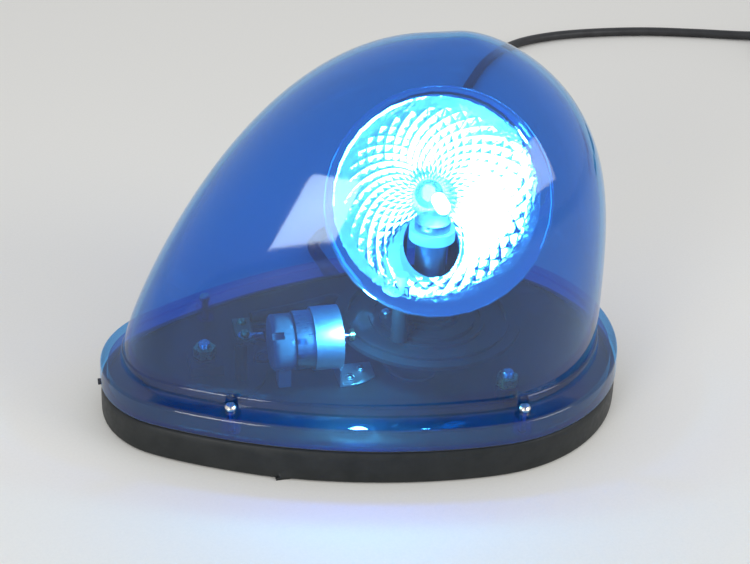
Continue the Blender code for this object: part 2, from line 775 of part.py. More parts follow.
def make_lamp():
    place = upright(ROTOR_X, 0)
    foot = BASE_TOP_Z + GAP
    flange_top = foot + COLUMN_FLANGE_HEIGHT
    top = HOLDER_BOTTOM_Z - GAP
    column = [
        (COLUMN_BORE, top),
        (COLUMN_RADIUS, top),
        (COLUMN_RADIUS, COLUMN_SHOULDER_Z),
        (COLUMN_SHOULDER_RADIUS, COLUMN_SHOULDER_Z),
        (COLUMN_SHOULDER_RADIUS, flange_top),
        (COLUMN_FLANGE_RADIUS, flange_top),
        (COLUMN_FLANGE_RADIUS, foot),
        (COLUMN_BORE, foot),
    ]
    post = add_object("lamp_column", turned("lamp_column", column, ROUND_SIDES, place), "bright steel")
    half = WIRE_RADIUS + 3 * GAP
    low = (ROTOR_X - half, -COLUMN_FLANGE_RADIUS - OVERRUN, foot - OVERRUN)
    cut(post, block("wire slot", low, (ROTOR_X + half, 0, foot + COLUMN_FLANGE_HEIGHT + OVERRUN)))

    bottom, rim = HOLDER_BOTTOM_Z, HOLDER_BOTTOM_Z + HOLDER_HEIGHT
    floor = bottom + HOLDER_FLOOR
    holder = [
        (COLUMN_BORE, floor),
        (CAP_RADIUS + GAP, floor),
        (CAP_RADIUS + GAP, rim),
        (HOLDER_RADIUS, rim),
        (HOLDER_RADIUS, bottom),
        (COLUMN_BORE, bottom),
    ]
    add_object("lamp_holder", turned("lamp_holder", holder, ROUND_SIDES, place), "white plastic")
    cap_low = floor + GAP
    cap_top = cap_low + CAP_HEIGHT
    add_object("bulb_cap", rod("bulb_cap", CAP_RADIUS, cap_low, cap_top, ROUND_SIDES, place), "bright steel")
    glass = turned("bulb_glass", bulb_profile(cap_top + GAP), PART_SIDES, place)
    add_object("bulb_glass", glass, "glass")
    make_filament(cap_top + GAP)


def bulb_profile(low):
    """The glass shell, open at its neck."""
    def side(radius, neck):
        start = math.asin(neck / radius)
        angles = [start + (math.pi - start) * i / BULB_STEPS for i in range(BULB_STEPS)]
        points = [(neck, low)]
        points += [(radius * math.sin(a), FOCUS_Z - radius * math.cos(a)) for a in angles]
        return points + [(0, FOCUS_Z + radius)]

    outer = side(BULB_RADIUS, BULB_NECK_RADIUS)
    inner = side(BULB_RADIUS - BULB_WALL, BULB_NECK_RADIUS - BULB_WALL)
    return outer[::-1] + inner


def make_filament(low):
    half = FILAMENT_HALF
    bend = half / 4
    points = [
        (-half, 0, low),
        (-half, 0, (low + FOCUS_Z) / 2),
        (-half, 0, FOCUS_Z - bend),
        (-half + bend, 0, FOCUS_Z),
        (0, 0, FOCUS_Z + bend / 2),
        (half - bend, 0, FOCUS_Z),
        (half, 0, FOCUS_Z - bend),
        (half, 0, (low + FOCUS_Z) / 2),
        (half, 0, low),
    ]
    points = [(ROTOR_X + x, y, z) for x, y, z in points]
    tube("bulb_filament", points, FILAMENT_WIRE, WIRE_SIDES, "tungsten")


def rotor_origin():
    return (ROTOR_X, 0, TURNTABLE_TOP_Z)


def make_rotor():
    place = upright(ROTOR_X, 0)
    running = COLUMN_RADIUS + GAP
    washer_low = COLUMN_SHOULDER_Z + GAP
    washer = [
        (running, washer_low + WASHER_THICKNESS),
        (COLUMN_SHOULDER_RADIUS, washer_low + WASHER_THICKNESS),
        (COLUMN_SHOULDER_RADIUS, washer_low),
        (running, washer_low),
    ]
    add_object("thrust_washer", turned("washer", washer, PART_SIDES, place), "brass")
    bush_low = washer_low + WASHER_THICKNESS + GAP
    flange_top = bush_low + BUSH_FLANGE_HEIGHT
    bush_radius = running + BUSH_WALL
    bush = [
        (running, HUB_TOP_Z),
        (bush_radius, HUB_TOP_Z),
        (bush_radius, flange_top),
        (BUSH_FLANGE_RADIUS, flange_top),
        (BUSH_FLANGE_RADIUS, bush_low),
        (running, bush_low),
    ]
    add_object("rotor_bush", turned("bush", bush, PART_SIDES, place), "brass", rotor_origin())
    hub_low = flange_top + GAP
    hub_bore = bush_radius + GAP
    hub = hub_bore + HUB_WALL
    top, web = TURNTABLE_TOP_Z, TURNTABLE_TOP_Z - WEB_DROP
    under = top - TURNTABLE_THICKNESS - WEB_DROP
    table = [
        (hub_bore, HUB_TOP_Z),
        (hub, HUB_TOP_Z),
        (hub, web),
        (INNER_RING_RADIUS - RING_WIDTH, web),
        (INNER_RING_RADIUS - RING_WIDTH, top),
        (INNER_RING_RADIUS, top),
        (INNER_RING_RADIUS, web),
        (RING_RADIUS - RING_WIDTH, web),
        (RING_RADIUS - RING_WIDTH, RING_TOP_Z),
        (RING_RADIUS, RING_TOP_Z),
        (RING_RADIUS, top),
        (TURNTABLE_RADIUS, top),
        (TURNTABLE_RADIUS, top - TURNTABLE_THICKNESS),
        (RING_RADIUS, top - TURNTABLE_THICKNESS),
        (RING_RADIUS - RING_WIDTH, under),
        (hub, under),
        (hub, hub_low),
        (hub_bore, hub_low),
    ]
    turntable = turned("turntable", table, TABLE_SIDES, place)
    turntable = add_object("turntable", turntable, "black plastic", rotor_origin())
    for x, y in stand_screw_places():
        bore = STAND_SCREW_SHANK + GAP
        cut(turntable, rod("hole", bore, under - OVERRUN, top, HOLE_SIDES, upright(x, y)))
    retainer_low = HUB_TOP_Z + GAP
    ring = [
        (running, retainer_low + RETAINER_HEIGHT),
        (RETAINER_RADIUS, retainer_low + RETAINER_HEIGHT),
        (RETAINER_RADIUS, retainer_low),
        (running, retainer_low),
    ]
    add_object("retaining_ring", turned("ring", ring, PART_SIDES, place), "bright steel")


def facing():
    """The level direction that the reflector faces."""
    a = math.radians(FACING_DEGREES)
    return Vector((-math.sin(a), -math.cos(a), 0))


def across():
    """The level direction to the left of the one that the reflector faces."""
    return facing().cross(Vector((0, 0, 1)))


def bowl_place():
    tilt = math.radians(TILT_DEGREES)
    axis = facing() * math.cos(tilt) + Vector((0, 0, math.sin(tilt)))
    vertex = Vector((ROTOR_X, 0, FOCUS_Z)) - axis * FOCAL_LENGTH
    return frame_at(vertex, axis)


def stand_screw_places():
    reach = across() * STAND_SCREW_RADIUS
    return [(ROTOR_X + hand * reach.x, hand * reach.y) for hand in (-1, 1)]


def pin_place():
    return Vector((ROTOR_X, 0, 0)) + facing() * PIN_RADIAL + across() * PIN_SIDE


def bowl_curve(wall):
    """Points of a parabola from its vertex to the rim, lowered for a wall at its steep edge."""
    offset = wall * math.sqrt(1 + (RIM_RADIUS / (2 * FOCAL_LENGTH)) ** 2)
    radius = RIM_RADIUS - RIM_LIP
    points = []
    for i in range(BOWL_STEPS + 1):
        r = radius * i / BOWL_STEPS
        points.append((r, r * r / (4 * FOCAL_LENGTH) - offset))
    return points


def make_reflector():
    place = bowl_place()
    inner = bowl_curve(0)
    outer = bowl_curve(BOWL_WALL)
    lip = [(RIM_RADIUS, BOWL_DEPTH), (RIM_RADIUS, BOWL_DEPTH - RIM_DEPTH)]
    profile = outer[:-1] + [(outer[-1][0], BOWL_DEPTH - RIM_DEPTH)] + lip[::-1] + inner[::-1]
    bowl = turned("reflector", profile, BOWL_SIDES, place)
    bowl = add_object("reflector", bowl, "mirror", rotor_origin())
    lamp = upright(ROTOR_X, 0)
    cut(bowl, rod("lamp opening", BOWL_OPENING, HUB_TOP_Z, FOCUS_Z - OVERRUN, BOWL_SIDES, lamp))
    pin = pin_place()
    bore = PIN_STEM_RADIUS / 2 + GAP
    cut(bowl, rod("pin hole", bore, HUB_TOP_Z, PIN_TOP_Z, SMALL_SIDES, upright(pin.x, pin.y)))
    make_stand(place)


def make_stand(bowl):
    foot = TURNTABLE_TOP_Z - WEB_DROP + GAP
    high = FOCUS_Z
    profile = [
        (STAND_INNER, high),
        (STAND_OUTER, high),
        (STAND_OUTER, foot + STAND_FOOT_HEIGHT),
        (STAND_FOOT_RADIUS, foot + STAND_FOOT_HEIGHT),
        (STAND_FOOT_RADIUS, foot),
        (STAND_INNER, foot),
    ]
    stand = turned("reflector_stand", profile, ROUND_SIDES, upright(ROTOR_X, 0))
    stand = add_object("reflector_stand", stand, "black plastic", rotor_origin())
    turn = upright(ROTOR_X, 0) @ Matrix.Rotation(math.atan2(facing().y, facing().x), 4, "Z")
    reach, half = STAND_FOOT_RADIUS, STAND_WINDOW_HALF
    low_z = foot + 2 * STAND_FOOT_HEIGHT
    cut(stand, block("window", (-reach, -half, low_z), (reach, half, high + OVERRUN), turn))
    pin = pin_place()
    reach = pin - Vector((ROTOR_X, 0, 0))
    turn = upright(ROTOR_X, 0) @ Matrix.Rotation(math.atan2(reach.y, reach.x), 4, "Z")
    arm = foot + STAND_FOOT_HEIGHT - GAP
    start = (STAND_INNER + STAND_OUTER) / 2
    near, far = (start, -PIN_ARM_HALF, arm), (reach.length, PIN_ARM_HALF, arm + PIN_ARM_HEIGHT)
    join(stand, block("pin arm", near, far, turn))
    boss = upright(pin.x, pin.y)
    join(stand, rod("pin boss", PIN_BOSS_RADIUS, arm + GAP, PIN_TOP_Z, PART_SIDES, boss))
    cut(stand, turned("bowl space", bowl_space(), BOWL_SIDES, bowl))
    cut(stand, rod("pin bore", PIN_STEM_RADIUS / 2 + GAP, HUB_TOP_Z, high, SMALL_SIDES, boss))
    bore = STAND_SCREW_SHANK + GAP
    foot_top = foot + STAND_FOOT_HEIGHT
    for x, y in stand_screw_places():
        hole = rod("screw hole", bore, foot - OVERRUN, foot_top + OVERRUN, HOLE_SIDES, upright(x, y))
        cut(stand, hole)
    length = STAND_FOOT_HEIGHT + TURNTABLE_THICKNESS
    for label, (x, y) in zip(("a", "b"), stand_screw_places(), strict=True):
        pan_screw(
            f"stand_screw_{label}", STAND_SCREW_HEAD, STAND_SCREW_HEAD_HEIGHT, STAND_SCREW_SHANK,
            length, x, y, foot_top, origin=rotor_origin(),
        )


def bowl_space():
    """Everything in front of the bowl's back, with a clearance, as a solid of revolution."""
    reach = 2 * RIM_RADIUS
    return bowl_curve(BOWL_WALL + GAP) + [(RIM_RADIUS, BOWL_DEPTH), (RIM_RADIUS, reach), (0, reach)]


def make_pin():
    """The bright fixing that stands inside the bowl and holds it to its stand."""
    pin = pin_place()
    inward = bowl_place().inverted()
    level = bowl_floor(inward @ pin, inward.to_3x3() @ Vector((0, 0, 1)))
    low = level + GAP + PIN_RADIUS * math.tan(math.radians(TILT_DEGREES)) + PIN_RADIUS / 2
    stem = PIN_STEM_RADIUS / 2
    profile = [
        (0, low - PIN_STEM),
        (stem, low - PIN_STEM),
        (stem, low),
        (PIN_STEM_RADIUS, low),
        (PIN_STEM_RADIUS, low + PIN_HEAD),
        (PIN_RADIUS, low + PIN_HEAD),
        (PIN_RADIUS, low + 2 * PIN_HEAD),
        (0, low + 2 * PIN_HEAD),
    ]
    mesh = turned("reflector_pin", profile, SMALL_SIDES, upright(pin.x, pin.y))
    add_object("reflector_pin", mesh, "bright steel", rotor_origin())


def bowl_floor(start, up):
    """The height at which an upright line meets the lower side of the bowl."""
    a = up.x**2 + up.y**2
    b = 2 * (start.x * up.x + start.y * up.y) - 4 * FOCAL_LENGTH * up.z
    c = start.x**2 + start.y**2 - 4 * FOCAL_LENGTH * start.z
    return (-b - math.sqrt(b * b - 4 * a * c)) / (2 * a)


def motor_place():
    """Local +Z runs along the shaft, out of the motor's face."""
    return frame_at((MOTOR_FACE_X, MOTOR_Y, MOTOR_Z), (1, 0, 0))


def make_motor():
    place = motor_place()
    length, bevel, radius = MOTOR_CAN_LENGTH, MOTOR_BEVEL, MOTOR_RADIUS
    can = [
        (0, -length),
        (radius, -length),
        (radius, -bevel),
        (radius - bevel, 0),
        (MOTOR_NOSE_RADIUS, 0),
        (MOTOR_NOSE_RADIUS, MOTOR_NOSE),
        (0, MOTOR_NOSE),
    ]
    can = add_object("motor_can", turned("motor_can", can, ROUND_SIDES, place), "bright steel")
    bore = SHAFT_RADIUS + GAP
    cut(can, rod("shaft bore", bore, -length / 3, MOTOR_NOSE + OVERRUN, SMALL_SIDES, place))
    high = -length - GAP
    low = high - BELL_LENGTH
    profile = [
        (0, low),
        (BELL_RADIUS - bevel, low),
        (BELL_RADIUS, low + bevel),
        (BELL_RADIUS, high),
        (0, high),
    ]
    bell = turned("motor_end_bell", profile, ROUND_SIDES, place)
    bell = add_object("motor_end_bell", bell, "white plastic")
    foot_x = MOTOR_FACE_X + low
    half = BELL_FOOT_WIDTH / 2
    foot_low = (foot_x + BELL_LENGTH / 3, MOTOR_Y - half, BASE_TOP_Z + GAP)
    foot_high = (foot_x + BELL_LENGTH - bevel, MOTOR_Y + half, MOTOR_Z)
    join(bell, block("foot", foot_low, foot_high))
    notch, deep = BELL_NOTCH_WIDTH / 2, BELL_NOTCH_DEPTH
    for turn in (0, 1, 2):
        spin = place @ Matrix.Rotation(math.pi / 4 + turn * math.pi / 2, 4, "Z")
        low_corner = (BELL_RADIUS - deep, -notch, low - OVERRUN)
        high_corner = (BELL_RADIUS + OVERRUN, notch, low + BELL_LENGTH / 2)
        cut(bell, block("notch", low_corner, high_corner, spin))
    origin = (MOTOR_FACE_X, MOTOR_Y, MOTOR_Z)
    shaft = rod("motor_shaft", SHAFT_RADIUS, -length / 3 + GAP, SHAFT_OUT, SMALL_SIDES, place)
    add_object("motor_shaft", shaft, "bright steel", origin)
    roller_low = SHAFT_OUT - ROLLER_WIDTH
    roller = [
        (bore, SHAFT_OUT),
        (ROLLER_RADIUS, SHAFT_OUT),
        (ROLLER_RADIUS, roller_low),
        (bore, roller_low),
    ]
    add_object("drive_roller", turned("drive_roller", roller, PART_SIDES, place), "brass", origin)
    make_clamp()


def clamp_screw_places():
    return [
        (MOTOR_FACE_X + CLAMP_SCREW_A_X, MOTOR_Y - CLAMP_SCREW_A_SIDE),
        (MOTOR_FACE_X + CLAMP_SCREW_B_X, MOTOR_Y + CLAMP_SCREW_B_SIDE),
    ]


def make_clamp():
    """A strap round the can with a web in front of it down to a foot on the tray."""
    place = motor_place()
    inner = MOTOR_RADIUS + GAP
    outer = inner + CLAMP_THICKNESS
    high = -CLAMP_SET_BACK
    low = high - CLAMP_WIDTH
    strap = rod("motor_clamp", outer, low, high, ROUND_SIDES, place)
    clamp = add_object("motor_clamp", strap, "bright steel")
    foot_z = BASE_TOP_Z + GAP
    thick = CLAMP_THICKNESS
    half = FOOT_WIDTH / 2
    front = MOTOR_FACE_X + high + thick / 2
    toe = front + FOOT_LENGTH
    web_top = MOTOR_Z - inner + thick / 2
    bend = [
        (front - thick, foot_z),
        (toe, foot_z),
        (toe, foot_z + thick),
        (front, foot_z + thick),
        (front, web_top),
        (front - thick, web_top),
    ]
    sides = (MOTOR_Y - half, MOTOR_Y + half)
    join(clamp, skin("web and foot", [[(x, y, z) for x, z in bend] for y in sides]))
    cut(clamp, rod("can space", inner, low - OVERRUN, OVERRUN, ROUND_SIDES, place))
    turn = Matrix.Rotation(math.radians(CLAMP_CORNER_DEGREES), 4, "Z")
    angled = Matrix.Translation((toe, MOTOR_Y - half, 0)) @ turn
    size = FOOT_LENGTH
    cut(clamp, block("corner", (-size, -size, 0), (size, half / 2, foot_z + OVERRUN), angled))
    for x, y in clamp_screw_places():
        bore = CLAMP_SCREW_SHANK + GAP
        cut(clamp, rod("hole", bore, 0, foot_z + OVERRUN, HOLE_SIDES, upright(x, y)))
    for label, (x, y) in zip(("a", "b"), clamp_screw_places(), strict=True):
        pan_screw(
            f"clamp_screw_{label}", CLAMP_SCREW_HEAD, CLAMP_SCREW_HEAD_HEIGHT, CLAMP_SCREW_SHANK,
            CLAMP_SCREW_LENGTH, x, y, foot_z + thick,
        )


def terminal_places():
    return [(BOARD_X, BOARD_Y + hand * BOARD_PITCH / 2) for hand in (-1, 1)]


def make_terminals():
    low = BASE_TOP_Z + GAP
    high = low + BOARD_THICKNESS
    half_l, half_w = BOARD_LENGTH / 2, BOARD_WIDTH / 2
    corner = Vector((half_w, half_l, 0))
    centre = Vector((BOARD_X, BOARD_Y, low))
    thick = Vector((0, 0, BOARD_THICKNESS))
    board = block("terminal_board", centre - corner, centre + corner + thick)
    board = add_object("terminal_board", board, "board")
    bore = CLAMP_SCREW_SHANK + GAP
    for x, y in terminal_places():
        cut(board, rod("hole", bore, low - OVERRUN, high + OVERRUN, HOLE_SIDES, upright(x, y)))
    lug_low = high + GAP
    lug_high = lug_low + LUG_THICKNESS
    place = upright(*terminal_places()[0])
    lug = rod("ring_lug", LUG_RADIUS, lug_low, lug_high, SMALL_SIDES, place)
    lug = add_object("ring_lug", lug, "bright steel")
    half = LUG_RADIUS / 4
    end = LUG_RADIUS + LUG_TONGUE
    join(lug, block("tongue", (2 * half, -half, lug_low), (end, half, lug_high), place))
    cut(lug, rod("hole", bore, low, high + OVERRUN, HOLE_SIDES, place))
    seats = (lug_high, high)
    for label, (x, y), seat in zip(("a", "b"), terminal_places(), seats, strict=True):
        length = seat - BASE_TOP_Z + PLATE_THICKNESS
        pan_screw(
            f"terminal_screw_{label}", TERMINAL_HEAD, TERMINAL_HEAD_HEIGHT, CLAMP_SCREW_SHANK,
            length, x, y, seat, finish="brass",
        )


def smooth(points, step, per_span=12):
    """A Catmull-Rom curve through hand-set points, read off at even steps."""
    points = [Vector(p) for p in points]
    padded = [2 * points[0] - points[1]] + points + [2 * points[-1] - points[-2]]
    fine = []
    for a, b, c, d in zip(padded, padded[1:], padded[2:], padded[3:], strict=False):
        for i in range(per_span):
            t = i / per_span
            bend, twist = 2 * a - 5 * b + 4 * c - d, 3 * b - a - 3 * c + d
            fine.append((2 * b + (c - a) * t + bend * t**2 + twist * t**3) / 2)
    fine.append(points[-1])
    length = sum((b - a).length for a, b in zip(fine, fine[1:], strict=False))
    count = max(2, round(length / step))
    return [along(fine, length * i / count) for i in range(count + 1)]


def led(start, leaving, route, end, arriving, run, step):
    """A smooth route whose two ends run straight, square to what they meet."""
    between = [start + leaving * run, *route, end - arriving * run]
    return [start, *smooth(between, step), end]


def along(line, distance):
    for a, b in zip(line, line[1:], strict=False):
        span = (b - a).length
        if distance <= span:
            return a + (b - a) * (distance / span)
        distance -= span
    return line[-1]


def tube(name, points, radius, sides, finish):
    """A cord or wire as a bevelled curve with closed ends."""
    curve = bpy.data.curves.new(name, "CURVE")
    curve.dimensions = "3D"
    curve.bevel_depth = radius
    curve.bevel_resolution = sides
    curve.use_fill_caps = True
    spline = curve.splines.new("POLY")
    spline.points.add(len(points) - 1)
    for place, point in zip(spline.points, points, strict=True):
        place.co = (*point, 1)
    made = bpy.data.objects.new(name, curve)
    curve.materials.append(material(finish))
    bpy.context.scene.collection.objects.link(made)
    return made


def gland_place():
    """Local +Z points out of the wall, from the wall's outer face at the gland's height."""
    y = edge_y(-GLAND_BACK, draft(GLAND_Z))
    return frame_at((WIDE_X - GLAND_BACK, y, GLAND_Z), edge_normal(-GLAND_BACK))


def gland_inner_z():
    return -BASE_WALL - GLAND_STANDOFF - GLAND_FLANGE_THICKNESS


def make_gland():
    wall = BASE_WALL + GLAND_STANDOFF
    low, out = gland_inner_z(), GLAND_STANDOFF
    tip = out + GLAND_LENGTH
    profile = [
        (0, low),
        (GLAND_FLANGE, low),
        (GLAND_FLANGE, -wall),
        (GLAND_NECK, -wall),
        (GLAND_NECK, out),
        (GLAND_FLANGE, out),
        (GLAND_FLANGE, out + GLAND_FLANGE_THICKNESS),
        (GLAND_TAPER_RADIUS, out + GLAND_FLANGE_THICKNESS),
        (CORD_RADIUS + GAP, tip),
        (0, tip),
    ]
    add_object("cord_gland", turned("cord_gland", profile, SMALL_SIDES, gland_place()), "rubber")


def make_leads():
    place = gland_place()
    out = edge_normal(-GLAND_BACK)
    first = place @ Vector((0, 0, gland_inner_z() - GAP))
    last = Vector(INNER_CORD_END)
    arriving = (last - Vector(INNER_CORD[-1])).normalized()
    run, step = INNER_CORD_RADIUS, 2 * INNER_CORD_RADIUS
    inner = led(first, -out, INNER_CORD, last, arriving, run, step)
    tube("inner_cord", inner, INNER_CORD_RADIUS, CORD_SIDES, "rubber")
    for name, route, finish in (
        ("motor_lead_live", MOTOR_LEAD_LIVE, "red lead"),
        ("motor_lead_ground", MOTOR_LEAD_GROUND, "black lead"),
        ("lamp_lead", LAMP_LEAD, "black lead"),
    ):
        tube(name, smooth(route, WIRE_STEP), WIRE_RADIUS, WIRE_SIDES, finish)


def coil_levels():
    """The heights of the coil's two layers, with the tie under the lower one."""
    low = TIE_THICKNESS + GAP + CORD_RADIUS + GAP
    return low, low + COIL_PITCH


def coil_point(turn):
    """A point of the coil, which spirals in, climbs half a turn and spirals out."""
    half = COIL_TURNS / 2
    inner = COIL_MEAN_RADIUS - COIL_PITCH * half / 2
    radius = inner + COIL_PITCH * abs(turn - half)
    low, high = coil_levels()
    climb = min(max((turn - half) * 2 + 0.5, 0), 1)
    angle = math.radians(COIL_START_DEGREES) - math.tau * turn
    height = low + (high - low) * climb
    return Vector((COIL_X + radius * math.cos(angle), COIL_Y + radius * math.sin(angle), height))


def coil_line():
    count = round(COIL_TURNS * COIL_POINTS)
    turns = [COIL_TURNS * i / count for i in range(count + 1)]
    points = [coil_point(t) for t in turns]
    run = 2 * CORD_RADIUS
    start = points[0] + (points[0] - points[1]).normalized() * run
    end = points[-1] + (points[-1] - points[-2]).normalized() * run
    return [start] + points + [end]


def report_coil_gap(points):
    """Print the coil's least gap to itself, measured between points a turn or so apart."""
    least = min(
        (a - b).length
        for i, a in enumerate(points)
        for b in points[i + COIL_POINTS // 2 :]
    )
    print(f"coil: least gap to itself {1000 * (least - 2 * CORD_RADIUS):.2f} mm")


def make_cord():
    place = gland_place()
    out = edge_normal(-GLAND_BACK)
    first = place @ Vector((0, 0, GLAND_STANDOFF + GLAND_LENGTH + GAP))
    coil = coil_line()
    heading = (coil[1] - coil[0]).normalized()
    last = coil[0] - heading * GAP
    free = led(first, out, CORD_ROUTE, last, heading, 2 * CORD_RADIUS, CORD_STEP)
    tube("cord_free", free, CORD_RADIUS, CORD_SIDES, "rubber")
    report_coil_gap(coil)
    tube("cord_coil", coil, CORD_RADIUS, COIL_SIDES, "rubber")
    make_tie()
    tail = tail_line(coil)
    tube("cord_tail", tail, CORD_RADIUS, CORD_SIDES, "rubber")
    make_plug(tail[-1], (tail[-1] - tail[-2]).normalized())


def tail_line(coil):
    """From the coil's end to the plug, which lies on the surface on its grip."""
    heading = (coil[-1] - coil[-2]).normalized()
    first = coil[-1] + heading * GAP
    level = Vector((heading.x, heading.y, 0)).normalized()
    last = first + level * TAIL_LENGTH
    last.z = GRIP_RADIUS
    run = CORD_RADIUS * 2
    return led(first, heading, [], last, level, run, run)


def make_tie():
    """A strap once round the coil's section."""
    angle = math.radians(TIE_DEGREES)
    low, high = coil_levels()
    turn = (COIL_START_DEGREES - TIE_DEGREES) / 360 % 1
    half = COIL_TURNS / 2
    inner = COIL_MEAN_RADIUS - COIL_PITCH * half / 2
    reach = max(half - turn, COIL_TURNS - 1 + turn - half)
    outer_r = inner + COIL_PITCH * reach + CORD_RADIUS + GAP
    inner_r = inner - CORD_RADIUS - GAP
    bottom, top = low - CORD_RADIUS - GAP, high + CORD_RADIUS + GAP
    place = Matrix.Translation((COIL_X, COIL_Y, 0)) @ Matrix.Rotation(angle, 4, "Z")
    t, half_w = TIE_THICKNESS, TIE_WIDTH / 2
    rings = []
    for x0, x1, z0, z1 in (
        (inner_r - t, outer_r + t, bottom - t, top + t),
        (inner_r, outer_r, bottom, top),
    ):
        for y in (-half_w, half_w):
            corners = ((x0, y, z0), (x1, y, z0), (x1, y, z1), (x0, y, z1))
            rings.append([place @ Vector(p) for p in corners])
    order = [rings[0], rings[1], rings[3], rings[2]]
    add_object("coil_tie", skin("coil_tie", order, closed=True), "rubber")


def make_plug(start, heading):
    """A lighter plug lying on its grip, with its sprung tip in front."""
    place = frame_at(start + heading * GAP, heading)
    boot = PLUG_BOOT_LENGTH
    profile = [(0, 0), (PLUG_BOOT_RADIUS, 0), (PLUG_BOOT_END, boot), (0, boot)]
    add_object("plug_boot", turned("plug_boot", profile, SMALL_SIDES, place), "rubber")
    low = boot + GAP
    grip_end = low + GRIP_LENGTH
    front = grip_end + BARREL_LENGTH
    collar_low = front - TIP_COLLAR_LENGTH
    fuse_high = collar_low - TIP_TRAVEL - GAP
    fuse_low = fuse_high - FUSE_LENGTH
    bevel = PLUG_BEVEL
    body = [
        (0, low),
        (GRIP_RADIUS - 2 * bevel, low),
        (GRIP_RADIUS, low + 2 * bevel),
        (GRIP_RADIUS, grip_end - bevel),
        (BARREL_RADIUS, grip_end),
        (BARREL_RADIUS, front - bevel),
        (BARREL_RADIUS - bevel, front),
        (TIP_COLLAR + GAP, front),
        (TIP_COLLAR + GAP, fuse_high),
        (FUSE_RADIUS + GAP, fuse_high),
        (FUSE_RADIUS + GAP, fuse_low - GAP),
        (0, fuse_low - GAP),
    ]
    add_object("plug_body", turned("plug_body", body, PLUG_SIDES, place), "black plastic")
    nose_low = front + GAP
    nose = [
        (NOSE_BORE, nose_low),
        (NOSE_RADIUS, nose_low),
        (NOSE_RADIUS, nose_low + NOSE_LENGTH - bevel),
        (NOSE_RADIUS - bevel, nose_low + NOSE_LENGTH),
        (NOSE_BORE, nose_low + NOSE_LENGTH),
    ]
    add_object("plug_nose", turned("plug_nose", nose, PART_SIDES, place), "bright steel")
    end = nose_low + NOSE_LENGTH + TIP_OUT
    tip = [
        (0, collar_low),
        (TIP_COLLAR, collar_low),
        (TIP_COLLAR, front),
        (PLUG_TIP_RADIUS, front),
        (PLUG_TIP_RADIUS, end - bevel),
        (PLUG_TIP_RADIUS / 2, end),
        (0, end),
    ]
    tip = turned("plug_tip", tip, SMALL_SIDES, place)
    add_object("plug_tip", tip, "brass", place @ Vector((0, 0, end)))
    fuse = rod("plug_fuse", FUSE_RADIUS, fuse_low, fuse_high, SMALL_SIDES, place)
    add_object("plug_fuse", fuse, "glass")
    for label, hand in (("a", -1), ("b", 1)):
        make_contact(f"plug_contact_{label}", place, front - CONTACT_SETBACK, hand)


def make_contact(name, place, high, hand):
    """A bowed leaf on the side of the barrel."""
    low = high - CONTACT_LENGTH
    half = CONTACT_WIDTH / 2
    seat = BARREL_RADIUS + GAP
    rings = []
    for i in range(CONTACT_STEPS + 1):
        share = i / CONTACT_STEPS
        lift = seat + CONTACT_RISE * math.sin(math.pi * share)
        outer = lift + CONTACT_THICKNESS
        z = low + CONTACT_LENGTH * share
        corners = [(lift, -half), (outer, -half), (outer, half), (lift, half)]
        rings.append([place @ Vector((hand * x, y, z)) for x, y in corners])
    add_object(name, skin(name, rings), "bright steel")


def main():
    clear_scene()
    make_base()
    make_gasket()
    make_lens()
    make_lens_screws()
    make_magnets()
    make_lamp()
    make_rotor()
    make_reflector()
    make_pin()
    make_motor()
    make_terminals()
    make_gland()
    make_leads()
    make_cord()


main()
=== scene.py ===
"""The beacon light's looks: camera, cords, clear lens, faceted reflector, finishes and studio.

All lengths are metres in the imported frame: +X towards the wide end, +Z up.
"""

import json
import math

import bmesh
import bpy
from mathutils import Matrix, Vector

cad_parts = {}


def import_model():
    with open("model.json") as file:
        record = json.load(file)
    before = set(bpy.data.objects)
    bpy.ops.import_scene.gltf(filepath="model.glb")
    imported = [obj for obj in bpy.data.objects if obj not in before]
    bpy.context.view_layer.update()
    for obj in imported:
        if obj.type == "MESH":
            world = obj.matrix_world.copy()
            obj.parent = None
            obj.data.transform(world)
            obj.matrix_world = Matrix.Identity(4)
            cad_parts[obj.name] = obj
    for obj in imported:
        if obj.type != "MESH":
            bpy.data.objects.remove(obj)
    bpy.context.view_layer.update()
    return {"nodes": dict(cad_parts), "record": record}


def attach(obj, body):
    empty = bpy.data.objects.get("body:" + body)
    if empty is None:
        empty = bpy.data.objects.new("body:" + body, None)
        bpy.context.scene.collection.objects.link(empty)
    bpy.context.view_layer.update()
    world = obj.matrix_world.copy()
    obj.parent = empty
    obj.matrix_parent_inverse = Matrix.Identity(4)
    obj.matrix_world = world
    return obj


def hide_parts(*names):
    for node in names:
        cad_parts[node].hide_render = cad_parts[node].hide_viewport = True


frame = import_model()

# Camera, fitted to the photograph
CAMERA_PLACE = (-0.1107, -0.4432, 0.3213)
CAMERA_AZIMUTH = 14.51
CAMERA_DOWN = 30.64
CAMERA_ROLL = -2.37
CAMERA_LENS = 62.4
CAMERA_NEAR, CAMERA_FAR = 0.01, 20

# Light: strengths of what glows, the room's light and how bright the room looks, and the lamps
# with their place, target, width, height and power
CORE_STRENGTH = 130.0
GLARE_STRENGTH = 1.0
# Painted glow on the lamp holder and the reflector pin, standing in for the bulb's light falling
# on them
HOLDER_PAINTED_GLOW = 1.8
LEAST_GLOW_SHARE = 0.85
GLOW_COLOUR = (0.93, 0.97, 1.0, 1)
ROOM_COLOUR = (0.93, 0.95, 1.0, 1)
WORLD_STRENGTH = 0.72
SEEN_STRENGTH = 0.75
LAMP_SPREAD_DEGREES = 100.0
SOFT_BOXES = [
    ("window", (-0.80, -0.845, 0.41), (-0.03, -0.04, 0.10), 0.40, 0.58, 1.55),
    ("lamp", (0.90, -0.64, 0.58), (0.05, -0.045, 0.12), 0.60, 0.52, 1.12),
]
GLOW_PLACE = (-0.009, -0.034, 0.052)
GLOW_RADIUS = 0.004
GLOW_POWER = 0.26

# Floor
FLOOR_COLOUR = (0.87, 0.85, 0.785)
FLOOR_WEAVE_SHARE = 0.97
FLOOR_HALF = 4.0

